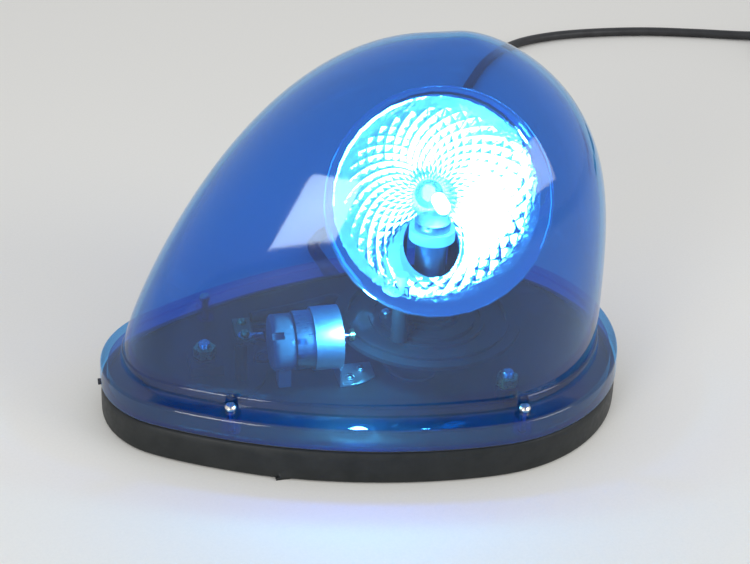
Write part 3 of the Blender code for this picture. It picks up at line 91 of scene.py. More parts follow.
# Clearance between pieces, overrun of cuts, and the angle from which an edge stays sharp
GAP = 0.0003
OVERRUN = 0.002
SHARP_DEGREES = 32

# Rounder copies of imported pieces
ROUND_LEVELS = 2
ROUND_MERGE = 0.000001
ROUND_FLAT_DEGREES = 1.0
ROUND_CORNER_DEGREES = 38.0

# Teardrop outline
LENGTH = 0.220
WIDE_RADIUS = 0.072
TIP_RADIUS = 0.0409
WIDE_X = LENGTH / 2 - WIDE_RADIUS
WIDE_STEPS = 56
SIDE_STEPS = 22
TIP_STEPS = 28

# Lens
BASE_TOP_Z = 0.0143
LENS_FOOT_Z = 0.0155
LENS_WALL = 0.0022
FLANGE_TOP_Z = 0.0244
FLANGE_TOP_INSET = 0.0016
FLANGE_EDGE = 0.0014
RISER_FOOT_INSET = 0.0096
RISER_TOP_INSET = 0.0103
DOME_INSET = 0.0110
DOME_FOOT_Z = 0.0294
DOME_HEIGHT = 0.1255
DOME_APEX_BACK = 0.0036
DOME_STEPS = 44
EDGE_STEPS = 6
SIDE_CURVE_SHARE = 4.13
SIDE_ROUND_SHARE = 1.43
TIP_CURVE_SHARE = 1.17
TIP_ROUND_SHARE = 2.2
TIP_SWELL_SHARE = 2.1
TOP_RING_SHARE = 0.998
LEAST_LENGTH_SHARE = 2.001
MOST_TIP_SHARE = 0.999
LENS_SCREW_INSET = 0.0086
LENS_SCREW_BACK = 0.0485
LENS_SCREW_FRONT = 0.0117
LENS_BOSS_RADIUS = 0.0040
LENS_POCKET_RADIUS = 0.0029
LENS_SCREW_BORE = 0.0017
LENS_HOLE_SIDES = 28
LENS_BORE_SIDES = 20
LENS_SHARP_DEGREES = 40

# The lens's plastic: what each of its surfaces lets through, its own colour, haze and polish
LENS_TINT = (0.24, 0.64, 0.94, 1)
LENS_BODY = (0.02, 0.09, 0.60)
LENS_HAZE = 0.015, 0.045
LENS_POLISH = 0.02, 0.09
LENS_IOR = 1.58

# Rotor, reflector and bulb
ROTOR_X = 0.027
FOCUS_Z = 0.0865
RIM_RADIUS = 0.0455
RIM_LIP = 0.0016
RIM_DEPTH = 0.0022
FOCAL_LENGTH = 0.0157
BOWL_DEPTH = (RIM_RADIUS - RIM_LIP) ** 2 / (4 * FOCAL_LENGTH)
BOWL_WALL = 0.0015
BOWL_OPENING = 0.0115
FACING_DEGREES = 8.0
TILT_DEGREES = 20.0
FACET_ROWS = 12
FACETS_ROUND = 34
FACET_START = 0.006
SMOOTH_BAND = 0.0075
BACK_SHARES = (0.86, 0.72, 0.58, 0.44, 0.3, 0.15)
OPENING_SIDES = 48
PIN_HOLE_SIDES = 24
MIRROR_COLOUR = (0.90, 0.92, 0.94)
MIRROR_POLISH = 0.035, 0.075
PIN_X, PIN_Y = 0.01042, -0.01736
PIN_BORE = 0.0014
BULB_RADIUS = 0.0092
BULB_NECK_RADIUS = 0.0058
BULB_LOW_Z = 0.0768
BULB_STEPS, BULB_SIDES = 20, 40
CORE_RADIUS = 0.0030
CORE_BACK, CORE_FRONT = 0.0004, -0.0061
CORE_X, CORE_LOW = 0.0020, 0.0010
CORE_STEPS, CORE_SIDES = 8, 24

# Supply cord: its radius, the gland's mouth and the route over the surface
CORD_RADIUS = 0.0030
GLAND_BACK = 0.033
GLAND_Z = 0.0068
GLAND_REACH = 0.0210
CORD_STEP = 0.0050
CORD_RESOLUTION = 5
CORD_ROUTE = [
    (0.0000, 0.1070, 0.0066),
    (0.0023, 0.1185, 0.0045),
    (0.0088, 0.1282, 0.0034),
    (0.0200, 0.1400, 0.0031),
    (0.0400, 0.1610, 0.0031),
    (0.0620, 0.1850, 0.0031),
    (0.0850, 0.2130, 0.0031),
    (0.1060, 0.2440, 0.0031),
    (0.1250, 0.2780, 0.0031),
    (0.1440, 0.3140, 0.0031),
    (0.1680, 0.3520, 0.0031),
    (0.1950, 0.3780, 0.0031),
    (0.2250, 0.3900, 0.0031),
    (0.2600, 0.3935, 0.0031),
    (0.3000, 0.3910, 0.0031),
    (0.3370, 0.3825, 0.0031),
    (0.3740, 0.3715, 0.0034),
    (0.4020, 0.3685, 0.0042),
]

# Coil of spare cord, and the tail to the plug
COIL_X, COIL_Y = 0.420, 0.322
COIL_MEAN_RADIUS = 0.0330
COIL_PITCH = 0.0068
COIL_TURNS = 6.25
COIL_CLIMB_TURNS = 0.5
COIL_START_DEGREES = 76.0
COIL_POINTS = 24
TIE_THICKNESS = 0.0010
TAIL_LENGTH = 0.0260
GRIP_RADIUS = 0.0116

# Leads inside, each from its terminal
WIRE_RADIUS = 0.0008
WIRE_RESOLUTION = 3
INNER_CORD_RADIUS = 0.0025
MOTOR_LEAD_LIVE = [
    (-0.0388, 0.0204, 0.0186),
    (-0.0362, 0.0185, 0.0190),
    (-0.0362, 0.0120, 0.0195),
    (-0.0400, 0.0050, 0.0235),
    (-0.0452, -0.0020, 0.0300),
    (-0.0466, -0.0075, 0.0345),
    (-0.0436, -0.0093, 0.0347),
]
MOTOR_LEAD_GROUND = [
    (-0.0425, 0.0250, 0.0160),
    (-0.0385, 0.0245, 0.0158),
    (-0.0325, 0.0205, 0.0156),
    (-0.0310, 0.0100, 0.0156),
    (-0.0360, 0.0000, 0.0176),
    (-0.0455, -0.0075, 0.0220),
    (-0.0480, -0.0150, 0.0290),
    (-0.0466, -0.0183, 0.0338),
    (-0.0436, -0.0183, 0.0347),
]
LAMP_LEAD = [
    (-0.0425, 0.0292, 0.0160),
    (-0.0360, 0.0290, 0.0156),
    (-0.0200, 0.0240, 0.0156),
    (-0.0050, 0.0120, 0.0156),
    (0.0060, -0.0040, 0.0156),
    (0.0080, -0.0160, 0.0156),
    (0.0140, -0.0225, 0.0156),
    (0.0215, -0.0230, 0.0156),
    (0.0262, -0.0190, 0.0156),
    (0.0270, -0.0120, 0.0158),
    (0.0270, -0.0050, 0.0166),
    (0.0270, -0.0010, 0.0200),
    (0.0270, 0.0000, 0.0290),
    (0.0270, 0.0000, 0.0450),
    (0.0270, 0.0000, 0.0640),
]
# Each wire: its piece, the node it replaces, its route, length and slot
WIRES = [
    ("live_wire", "motor_lead_live", MOTOR_LEAD_LIVE, 0.0402, "red_lead"),
    ("ground_wire", "motor_lead_ground", MOTOR_LEAD_GROUND, 0.0661, "black_lead"),
    ("lamp_wire", "lamp_lead", LAMP_LEAD, 0.1607, "black_lead"),
]
INNER_CORD = [
    (0.0042, 0.0580, 0.0068),
    (0.0022, 0.0495, 0.0080),
    (0.0004, 0.0446, 0.0128),
    (-0.0042, 0.0416, 0.0178),
    (-0.0150, 0.0395, 0.0173),
    (-0.0270, 0.0365, 0.0172),
]
INNER_CORD_END = (-0.0425, 0.0335, 0.0172)
GLAND_INNER = 0.0051

# Worn finishes: how fine their patches, smears and grain are
PATCH_DETAIL = 4.0
SMEARS_PER_PATCH = 3
SMEAR_DETAIL = 3.0
GRAIN_DETAIL = 2.0
METAL = {"metallic": 1.0}
FINE_METAL = {"metallic": 1.0, "scale": 300, "grain": 3500, "depth": 0.000003}

# Each finish: its material, two colours, roughness, how much that varies, and what else differs
FINISHES = {
    "black_plastic": (
        "satin_black", (0.010, 0.012, 0.012), (0.019, 0.021, 0.021), 0.42, 0.12,
        {"specular": 0.3},
    ),
    "rubber": (
        "black_rubber", (0.018, 0.018, 0.018), (0.034, 0.033, 0.032), 0.55, 0.2, {"scale": 80},
    ),
    "cord": (
        "cord_sheath", (0.012, 0.012, 0.013), (0.026, 0.026, 0.027), 0.36, 0.16, {"scale": 140},
    ),
    "steel": ("plated_steel", (0.70, 0.69, 0.66), (0.56, 0.55, 0.53), 0.20, 0.16, FINE_METAL),
    "satin": ("satin_steel", (0.78, 0.78, 0.77), (0.66, 0.66, 0.65), 0.38, 0.14, FINE_METAL),
    # White nylon with painted glow: its emission stands in for the bulb's light on the holder and
    # pin
    "holder": (
        "nylon_painted_glow", (0.80, 0.80, 0.80), (0.72, 0.73, 0.73), 0.38, 0.16,
        {"glow": HOLDER_PAINTED_GLOW},
    ),
    "grey_plastic": ("grey_nylon", (0.22, 0.235, 0.25), (0.16, 0.175, 0.19), 0.42, 0.16, {}),
    "chrome": (
        "bright_screw", (0.86, 0.84, 0.80), (0.74, 0.62, 0.42), 0.12, 0.14,
        METAL | {"scale": 500, "grain": 4000},
    ),
    "brass": (
        "brass_plate", (0.80, 0.60, 0.27), (0.66, 0.46, 0.18), 0.22, 0.16,
        METAL | {"scale": 400, "grain": 4000},
    ),
    "can": (
        "motor_steel", (0.62, 0.62, 0.61), (0.46, 0.46, 0.46), 0.26, 0.18,
        METAL | {"scale": 160, "depth": 0.000004, "stretch": (1, 6, 6)},
    ),
    "ferrite": ("zinc_cup", (0.30, 0.30, 0.31), (0.20, 0.20, 0.21), 0.42, 0.2, {"metallic": 0.8}),
    "board": (
        "brown_laminate", (0.34, 0.22, 0.11), (0.25, 0.15, 0.07), 0.5, 0.15,
        {"stretch": (1, 8, 1)},
    ),
    "red_lead": ("red_sleeve", (0.52, 0.02, 0.04), (0.40, 0.015, 0.03), 0.36, 0.12, {}),
    "black_lead": ("black_sleeve", (0.02, 0.02, 0.022), (0.035, 0.035, 0.036), 0.36, 0.14, {}),
}

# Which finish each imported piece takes, by the start of its name
NODE_FINISHES = {
    "base_tray": "black_plastic",
    "lens_gasket": "rubber",
    "lens_screw": "chrome",
    "magnet_cover": "rubber",
    "magnet_stud": "steel",
    "magnet_nut": "brass",
    "magnet": "ferrite",
    "lamp_column": "satin",
    # The lamp holder and the reflector pin take the finish with painted glow
    "lamp_holder": "holder",
    "bulb_cap": "satin",
    "thrust_washer": "brass",
    "rotor_bush": "brass",
    "turntable": "black_plastic",
    "retaining_ring": "steel",
    "reflector_stand": "black_plastic",
    "stand_screw": "steel",
    "reflector_pin": "holder",
    "motor_can": "can",
    "motor_end_bell": "grey_plastic",
    "motor_shaft": "steel",
    "drive_roller": "brass",
    "motor_clamp": "satin",
    "clamp_screw": "steel",
    "terminal_board": "board",
    "ring_lug": "steel",
    "terminal_screw": "brass",
    "cord_gland": "rubber",
    "coil_tie": "rubber",
    "plug_boot": "rubber",
    "plug_body": "black_plastic",
    "plug_nose": "steel",
    "plug_tip": "brass",
    "plug_fuse": "steel",
    "plug_contact": "steel",
}


def camera():
    """The photograph's view: its azimuth, its angle down and a slight roll."""
    az, down, roll = (math.radians(v) for v in (CAMERA_AZIMUTH, CAMERA_DOWN, CAMERA_ROLL))
    forward = Vector(
        (math.sin(az) * math.cos(down), math.cos(az) * math.cos(down), -math.sin(down))
    )
    level = Vector((math.cos(az), -math.sin(az), 0))
    below = forward.cross(level)
    right = math.cos(roll) * level + math.sin(roll) * below
    up = math.sin(roll) * level - math.cos(roll) * below
    turn = Matrix((right, up, -forward)).transposed().to_4x4()
    data = bpy.data.cameras.new("camera")
    data.lens = CAMERA_LENS
    data.clip_start, data.clip_end = CAMERA_NEAR, CAMERA_FAR
    view = bpy.data.objects.new("camera", data)
    view.matrix_world = Matrix.Translation(CAMERA_PLACE) @ turn
    bpy.context.scene.collection.objects.link(view)
    bpy.context.scene.camera = view


# Meshes


def link(name, data):
    made = bpy.data.objects.new(name, data)
    bpy.context.scene.collection.objects.link(made)
    return made


def finish_mesh(name, work):
    bmesh.ops.recalc_face_normals(work, faces=work.faces)
    mesh = bpy.data.meshes.new(name)
    work.to_mesh(mesh)
    work.free()
    return mesh


def skin(name, rings, closed=False):
    """A surface through rings of points. A ring of one point is a pole; open ends are capped."""
    work = bmesh.new()
    rows = [[work.verts.new(p) for p in ring] for ring in rings]
    pairs = list(zip(rows, rows[1:], strict=False))
    if closed:
        pairs.append((rows[-1], rows[0]))
    for low, high in pairs:
        count = max(len(low), len(high))
        for i in range(count):
            j = (i + 1) % count
            if len(low) == 1:
                work.faces.new((low[0], high[j], high[i]))
            elif len(high) == 1:
                work.faces.new((low[i], low[j], high[0]))
            else:
                work.faces.new((low[i], low[j], high[j], high[i]))
    if not closed:
        for end in (rows[0], rows[-1]):
            if len(end) > 1:
                work.faces.new(end)
    return finish_mesh(name, work)


def frame_at(centre, direction):
    """A matrix that puts local +Z along a direction at a centre."""
    turn = Vector(direction).to_track_quat("Z", "Y").to_matrix().to_4x4()
    return Matrix.Translation(Vector(centre)) @ turn


def upright(x, y):
    return Matrix.Translation((x, y, 0))


def turned(name, profile, sides, place):
    """A lathe form from (radius, height) points. Ends on the axis close it there."""
    rings = []
    for radius, height in profile:
        if radius == 0:
            rings.append([(0, 0, height)])
            continue
        angles = [math.tau * i / sides for i in range(sides)]
        rings.append([(radius * math.cos(a), radius * math.sin(a), height) for a in angles])
    on_axis = profile[0][0] == 0 and profile[-1][0] == 0
    mesh = skin(name, rings, closed=not on_axis)
    mesh.transform(place)
    return mesh


def rod(name, radius, low, high, sides, place):
    return turned(name, [(0, low), (radius, low), (radius, high), (0, high)], sides, place)


def shaped(mesh, cuts=(), joins=(), angle=SHARP_DEGREES, smooth_all=True):
    """The mesh with others joined to it and cut from it, shaded smooth but for its edges."""
    piece = link(mesh.name, mesh)
    tools = []
    for operation, others in (("UNION", joins), ("DIFFERENCE", cuts)):
        for other in others:
            tool = link(other.name, other)
            tools.append(tool)
            step = piece.modifiers.new(other.name, "BOOLEAN")
            step.operation, step.solver, step.object = operation, "EXACT", tool
    if tools:
        graph = bpy.context.evaluated_depsgraph_get()
        result = bpy.data.meshes.new_from_object(piece.evaluated_get(graph))
        piece.modifiers.clear()
        piece.data = result
        for tool in tools:
            bpy.data.objects.remove(tool, do_unlink=True)
    piece.data.materials.clear()
    if smooth_all:
        piece.data.shade_smooth()
        piece.data.set_sharp_from_angle(angle=math.radians(angle))
    return piece


# Outlines


def side_radius(length, wide, tip):
    """The radius of the long arcs that run smoothly from the wide arc to the tip's."""
    reach = length - wide - tip
    return (reach**2 + wide**2 - tip**2) / (2 * (wide - tip))


def teardrop(length, wide, tip, x=0.0, z=0.0):
    """The four-arc outline, from the foot of the wide arc round to it again."""
    reach = length - wide - tip
    side = side_radius(length, wide, tip)
    lean = math.atan2(side - wide, reach)
    points = []

    def arc(cx, cy, radius, start, end, steps):
        for i in range(steps):
            a = start + (end - start) * i / steps
            points.append((x + cx + radius * math.cos(a), cy + radius * math.sin(a), z))

    quarter = math.pi / 2
    arc(0, 0, wide, -quarter, quarter, WIDE_STEPS)
    arc(0, wide - side, side, quarter, math.pi - lean, SIDE_STEPS)
    arc(-reach, 0, tip, math.pi - lean, math.pi + lean, TIP_STEPS)
    arc(0, side - wide, side, math.pi + lean, 3 * quarter, SIDE_STEPS)
    return points


def outline(inset, z):
    wide, tip = WIDE_RADIUS - inset, TIP_RADIUS - inset
    return teardrop(LENGTH - 2 * inset, wide, tip, WIDE_X, z)


def draft(z):
    """How far the outer wall leans in at a height."""
    return FLANGE_TOP_INSET * z / FLANGE_TOP_Z


def edge_y(x_from_wide, inset):
    """The outline's half width at a place along it, measured from the wide arc's centre."""
    if x_from_wide >= 0:
        return math.sqrt((WIDE_RADIUS - inset) ** 2 - x_from_wide**2)
    side = side_radius(LENGTH, WIDE_RADIUS, TIP_RADIUS)
    return math.sqrt((side - inset) ** 2 - x_from_wide**2) - (side - WIDE_RADIUS)


def edge_normal(x_from_wide):
    side = side_radius(LENGTH, WIDE_RADIUS, TIP_RADIUS)
    return Vector((x_from_wide / side, math.sqrt(1 - (x_from_wide / side) ** 2), 0))


def lens_screw_places():
    places = []
    for x in (LENS_SCREW_BACK - LENGTH / 2 - WIDE_X, LENS_SCREW_FRONT):
        for hand in (-1, 1):
            places.append((WIDE_X + x, hand * edge_y(x, LENS_SCREW_INSET)))
    return places


def dome_ring(share, inset, height):
    """One level of the dome, a teardrop that shrinks towards the top."""
    back = DOME_APEX_BACK * share
    wide = WIDE_RADIUS - inset
    half = wide * (1 - share**SIDE_CURVE_SHARE) ** (1 / SIDE_ROUND_SHARE)
    reach = LENGTH - WIDE_RADIUS - inset - DOME_APEX_BACK
    front = reach * (1 - share**TIP_CURVE_SHARE) ** (1 / TIP_ROUND_SHARE) + DOME_APEX_BACK
    length = max(front - back + half, LEAST_LENGTH_SHARE * half)
    foot_share = (TIP_RADIUS - inset) / wide
    tip = min(foot_share + (1 - foot_share) * share**TIP_SWELL_SHARE, MOST_TIP_SHARE) * half
    return teardrop(length, half, tip, WIDE_X - back, DOME_FOOT_Z + share * height)


def dome_rings(inset, height):
    """Levels closer together towards the top, where the dome turns over."""
    turns = [math.pi / 2 * i / DOME_STEPS for i in range(DOME_STEPS)]
    shares = [math.sin(a) for a in turns if math.sin(a) < TOP_RING_SHARE] + [TOP_RING_SHARE]
    return [dome_ring(s, inset, height) for s in shares]


# Cords


def along(line, distance):
    for a, b in zip(line, line[1:], strict=False):
        span = (b - a).length
        if distance <= span:
            return a + (b - a) * (distance / span)
        distance -= span
    return line[-1]


def smooth(points, step, per_span=12):
    """A Catmull-Rom curve through given points, read off at even steps."""
    points = [Vector(p) for p in points]
    padded = [2 * points[0] - points[1]] + points + [2 * points[-1] - points[-2]]
    fine = []
    for a, b, c, d in zip(padded, padded[1:], padded[2:], padded[3:], strict=False):
        for i in range(per_span):
            t = i / per_span
            bend, twist = 2 * a - 5 * b + 4 * c - d, 3 * b - a - 3 * c + d
            fine.append((2 * b + (c - a) * t + bend * t**2 + twist * t**3) / 2)
    fine.append(points[-1])
    length = sum((b - a).length for a, b in zip(fine, fine[1:], strict=False))
    count = max(2, round(length / step))
    return [along(fine, length * i / count) for i in range(count + 1)]


def led(start, leaving, route, end, arriving, run, step):
    """A smooth route whose two ends run straight, square to what they meet."""
    between = [start + leaving * run, *route, end - arriving * run]
    return [start, *smooth(between, step), end]


def tube(name, points, radius, resolution):
    curve = bpy.data.curves.new(name, "CURVE")
    curve.dimensions = "3D"
    curve.bevel_depth = 1
    curve.bevel_resolution = resolution
    curve.use_fill_caps = True
    spline = curve.splines.new("POLY")
    spline.points.add(len(points) - 1)
    for place, point in zip(spline.points, points, strict=True):
        place.co = (*point, 1)
        place.radius = radius
    spline.use_smooth = True
    return link(name, curve)


def gland_mouth(reach):
    """A point on the gland's axis, counted outwards from the tray's outer wall."""
    y = edge_y(-GLAND_BACK, draft(GLAND_Z))
    return Vector((WIDE_X - GLAND_BACK, y, GLAND_Z)) + edge_normal(-GLAND_BACK) * reach


def coil_point(turn):
    """A point of the coil, which spirals in, climbs to a second layer and spirals out."""
    half = COIL_TURNS / 2
    inner = COIL_MEAN_RADIUS - COIL_PITCH * half / 2
    radius = inner + COIL_PITCH * abs(turn - half)
    low = TIE_THICKNESS + GAP + CORD_RADIUS + GAP
    climb = min(max((turn - half) / COIL_CLIMB_TURNS + 1 / 2, 0), 1)
    angle = math.radians(COIL_START_DEGREES) - math.tau * turn
    height = low + COIL_PITCH * climb
    return Vector((COIL_X + radius * math.cos(angle), COIL_Y + radius * math.sin(angle), height))


def coil_line():
    count = round(COIL_TURNS * COIL_POINTS)
    points = [coil_point(COIL_TURNS * i / count) for i in range(count + 1)]
    run = 2 * CORD_RADIUS
    start = points[0] + (points[0] - points[1]).normalized() * run
    end = points[-1] + (points[-1] - points[-2]).normalized() * run
    return [start] + points + [end]


def supply_cord():
    """The whole cord outside: over the surface, round the coil and on to the plug."""
    run = 2 * CORD_RADIUS
    out = edge_normal(-GLAND_BACK)
    first = gland_mouth(GLAND_REACH)
    coil = coil_line()
    heading = (coil[1] - coil[0]).normalized()
    free = led(first, out, CORD_ROUTE, coil[0], heading, run, CORD_STEP)
    leaving = (coil[-1] - coil[-2]).normalized()
    level = Vector((leaving.x, leaving.y, 0)).normalized()
    last = coil[-1] + level * TAIL_LENGTH
    last.z = GRIP_RADIUS
    tail = led(coil[-1], leaving, [], last, level, run, run)
    cord = tube("supply_cord", free[:-1] + coil + tail[1:], CORD_RADIUS, CORD_RESOLUTION)
    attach(cord, "base")
    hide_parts("cord_free", "cord_coil", "cord_tail")
    plug = ["coil_tie", "plug_boot", "plug_body", "plug_nose", "plug_tip", "plug_fuse"]
    plug += ["plug_contact_a", "plug_contact_b"]
    return cord


def lead(name, replaced, points, radius):
    """A cord or wire inside the light, from one piece to another."""
    wire = tube(name, points, radius, WIRE_RESOLUTION)
    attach(wire, "base")
    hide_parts(replaced)
    return wire


def inner_leads(made):
    """The cord inside the light and the three wires, dressed."""
    out = edge_normal(-GLAND_BACK)
    last = Vector(INNER_CORD_END)
    arriving = (last - Vector(INNER_CORD[-1])).normalized()
    run = INNER_CORD_RADIUS
    inner = led(gland_mouth(-GLAND_INNER), -out, INNER_CORD, last, arriving, run, run)
    cord = lead("inside_cord", "inner_cord", inner, run)
    dress(cord, made["cord"])
    for name, replaced, route, length, slot in WIRES:
        line = smooth(route, 2 * WIRE_RADIUS)
        dress(lead(name, replaced, line, WIRE_RADIUS), made[slot])


# Clear lens


def make_lens():
    """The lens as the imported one, with a finer skin, a rolled edge and eased corners."""
    top = FLANGE_TOP_Z
    outer = [outline(draft(LENS_FOOT_Z), LENS_FOOT_Z)]
    for i in range(EDGE_STEPS + 1):
        a = math.pi / 2 * i / EDGE_STEPS
        inset = FLANGE_TOP_INSET + FLANGE_EDGE * (1 - math.cos(a))
        outer.append(outline(inset, top - FLANGE_EDGE * (1 - math.sin(a))))
    outer.append(outline(RISER_FOOT_INSET - FLANGE_EDGE / 2, top))
    outer.append(outline(RISER_FOOT_INSET, top + FLANGE_EDGE / 4))
    step = DOME_INSET - RISER_TOP_INSET
    outer.append(outline(RISER_TOP_INSET, DOME_FOOT_Z - step))
    outer.append(outline(RISER_TOP_INSET + step / 3, DOME_FOOT_Z - step / 3))
    outer += dome_rings(DOME_INSET, DOME_HEIGHT)
    wall = LENS_WALL
    inner = [outline(draft(LENS_FOOT_Z) + wall, LENS_FOOT_Z)]
    inner.append(outline(FLANGE_TOP_INSET + wall + FLANGE_EDGE / 2, top - wall))
    inner.append(outline(DOME_INSET + wall, top - wall))
    inner += dome_rings(DOME_INSET + wall, DOME_HEIGHT - wall)
    mesh = skin("clear_lens", outer[::-1] + inner)
    joins, cuts = [], []
    for i, (x, y) in enumerate(lens_screw_places()):
        place = upright(x, y)
        boss = LENS_BOSS_RADIUS, BASE_TOP_Z + GAP, top - wall / 2, LENS_HOLE_SIDES
        pocket = LENS_POCKET_RADIUS, top, DOME_FOOT_Z + GAP, LENS_HOLE_SIDES
        bore = LENS_SCREW_BORE, -OVERRUN, top + OVERRUN, LENS_BORE_SIDES
        joins.append(rod(f"boss{i}", *boss, place))
        cuts.append(rod(f"pocket{i}", *pocket, place))
        cuts.append(rod(f"bore{i}", *bore, place))
    lens = shaped(mesh, cuts, joins, LENS_SHARP_DEGREES)
    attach(lens, "base")
    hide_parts("lens_dome")
    return lens


# Reflector


def bowl_place():
    """The bowl's frame: local +Z along its axis, from its vertex."""
    a, tilt = math.radians(FACING_DEGREES), math.radians(TILT_DEGREES)
    level = Vector((-math.sin(a), -math.cos(a), 0))
    axis = level * math.cos(tilt) + Vector((0, 0, math.sin(tilt)))
    return frame_at(Vector((ROTOR_X, 0, FOCUS_Z)) - axis * FOCAL_LENGTH, axis)


def bowl_height(radius):
    return radius**2 / (4 * FOCAL_LENGTH)


def make_reflector():
    """The bowl: rows of staggered flat mirror facets inside a smooth band, a lip and a back."""
    work = bmesh.new()

    def row(radius, height, turn=0.0):
        angles = [math.tau * (i + turn) / FACETS_ROUND for i in range(FACETS_ROUND)]
        points = [(radius * math.cos(a), radius * math.sin(a), height) for a in angles]
        return [work.verts.new(point) for point in points]

    def band(low, high):
        for i in range(FACETS_ROUND):
            j = (i + 1) % FACETS_ROUND
            work.faces.new((low[i], low[j], high[j], high[i]))

    edge = RIM_RADIUS - RIM_LIP
    reach = edge - SMOOTH_BAND - FACET_START
    rows = []
    for k in range(FACET_ROWS + 1):
        radius = FACET_START + reach * k / FACET_ROWS
        rows.append(row(radius, bowl_height(radius), k / 2))
    flat = [work.faces.new(rows[0])]
    for i in range(FACETS_ROUND):
        j, before = (i + 1) % FACETS_ROUND, i - 1
        flat.append(work.faces.new((rows[0][i], rows[0][j], rows[1][i])))
        flat.append(work.faces.new((rows[-2][i], rows[-1][i], rows[-1][before])))
        for low, middle, high in zip(rows, rows[1:], rows[2:], strict=False):
            flat.append(work.faces.new((low[i], middle[i], high[before], middle[before])))
    last = FACET_ROWS / 2
    profile = [(edge - SMOOTH_BAND / 2, bowl_height(edge - SMOOTH_BAND / 2))]
    profile += [(edge, BOWL_DEPTH), (edge + RIM_LIP / 3, BOWL_DEPTH + GAP / 2)]
    profile += [(RIM_RADIUS - GAP, BOWL_DEPTH + GAP / 2), (RIM_RADIUS, BOWL_DEPTH - GAP)]
    profile += [(RIM_RADIUS, BOWL_DEPTH - RIM_DEPTH), (edge, BOWL_DEPTH - RIM_DEPTH)]
    drop = BOWL_WALL * math.sqrt(1 + (RIM_RADIUS / (2 * FOCAL_LENGTH)) ** 2)
    for share in BACK_SHARES:
        profile.append((edge * share, bowl_height(edge * share) - drop))
    before = rows[-1]
    for radius, height in profile:
        ring = row(radius, height, last)
        band(before, ring)
        before = ring
    work.faces.new(before)
    for face in work.faces:
        face.smooth = True
    for face in flat:
        face.smooth = False
    mesh = finish_mesh("faceted_reflector", work)
    mesh.transform(bowl_place())
    high = FOCUS_Z - OVERRUN
    opening = rod("lamp opening", BOWL_OPENING, 0, high, OPENING_SIDES, upright(ROTOR_X, 0))
    pin_hole = rod("pin hole", PIN_BORE, 0, high, PIN_HOLE_SIDES, upright(PIN_X, PIN_Y))
    bowl = shaped(mesh, [opening, pin_hole], smooth_all=False)
    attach(bowl, "rotor")
    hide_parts("reflector")
    return bowl


# Bulb


def make_bulb():
    """The lit envelope, glowing from within."""
    low, steps = BULB_LOW_Z, BULB_STEPS
    start = math.asin(BULB_NECK_RADIUS / BULB_RADIUS)
    angles = [start + (math.pi - start) * i / steps for i in range(steps)]
    profile = [(0, low), (BULB_NECK_RADIUS, low)]
    profile += [(BULB_RADIUS * math.sin(a), FOCUS_Z - BULB_RADIUS * math.cos(a)) for a in angles]
    profile.append((0, FOCUS_Z + BULB_RADIUS))
    bulb = shaped(turned("lit_bulb", profile, BULB_SIDES, upright(ROTOR_X, 0)))
    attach(bulb, "base")
    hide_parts("bulb_glass")
    return bulb


def make_core():
    """The white-hot filament with its glare, a rounded bar that lies across the bulb."""
    angles = [math.pi / 2 * i / CORE_STEPS for i in range(CORE_STEPS + 1)]
    front = [(CORE_RADIUS * math.sin(a), CORE_FRONT - CORE_RADIUS * math.cos(a)) for a in angles]
    back = [(CORE_RADIUS * math.cos(a), CORE_BACK + CORE_RADIUS * math.sin(a)) for a in angles]
    profile = [(0, front[0][1])] + front[1:] + back[:-1] + [(0, back[-1][1])]
    place = frame_at((ROTOR_X + CORE_X, 0, FOCUS_Z - CORE_LOW), (0, 1, 0))
    core = shaped(turned("hot_filament", profile, CORE_SIDES, place))
    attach(core, "base")
    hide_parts("bulb_filament")
    return core


# Materials


def principled(name, colour, roughness, metallic=0.0):
    made = bpy.data.materials.new(name)
    made.use_nodes = True
    shader = made.node_tree.nodes["Principled BSDF"]
    shader.inputs["Base Color"].default_value = (*colour, 1)
    shader.inputs["Roughness"].default_value = roughness
    shader.inputs["Metallic"].default_value = metallic
    return made, shader


def node(tree, kind, **sockets):
    """A shader node with its sockets set by name, underscores standing for spaces."""
    made = tree.nodes.new(kind)
    for key, value in sockets.items():
        made.inputs[key.replace("_", " ")].default_value = value
    return made


def noise(tree, scale, detail=3.0, stretch=(1, 1, 1)):
    """Noise over the object's own metres, its cells about 1 / scale across."""
    place = tree.nodes.new("ShaderNodeTexCoord")
    mapping = node(tree, "ShaderNodeMapping", Scale=stretch)
    tree.links.new(place.outputs["Object"], mapping.inputs["Vector"])
    made = node(tree, "ShaderNodeTexNoise", Scale=scale, Detail=detail, Roughness=0.6)
    tree.links.new(mapping.outputs["Vector"], made.inputs["Vector"])
    return made.outputs["Fac"]


def spread(tree, value, low, high, start=0.3, end=0.7):
    """A value brought from start..end to low..high."""
    made = tree.nodes.new("ShaderNodeMapRange")
    for key, number in (("From Min", start), ("From Max", end), ("To Min", low), ("To Max", high)):
        made.inputs[key].default_value = number
    tree.links.new(value, made.inputs["Value"])
    return made.outputs["Result"]


def tint(tree, value, first, second):
    """A colour between two by a value."""
    made = tree.nodes.new("ShaderNodeMix")
    made.data_type = "RGBA"
    made.inputs["A"].default_value = (*first, 1)
    made.inputs["B"].default_value = (*second, 1)
    tree.links.new(value, made.inputs["Factor"])
    return made.outputs["Result"]


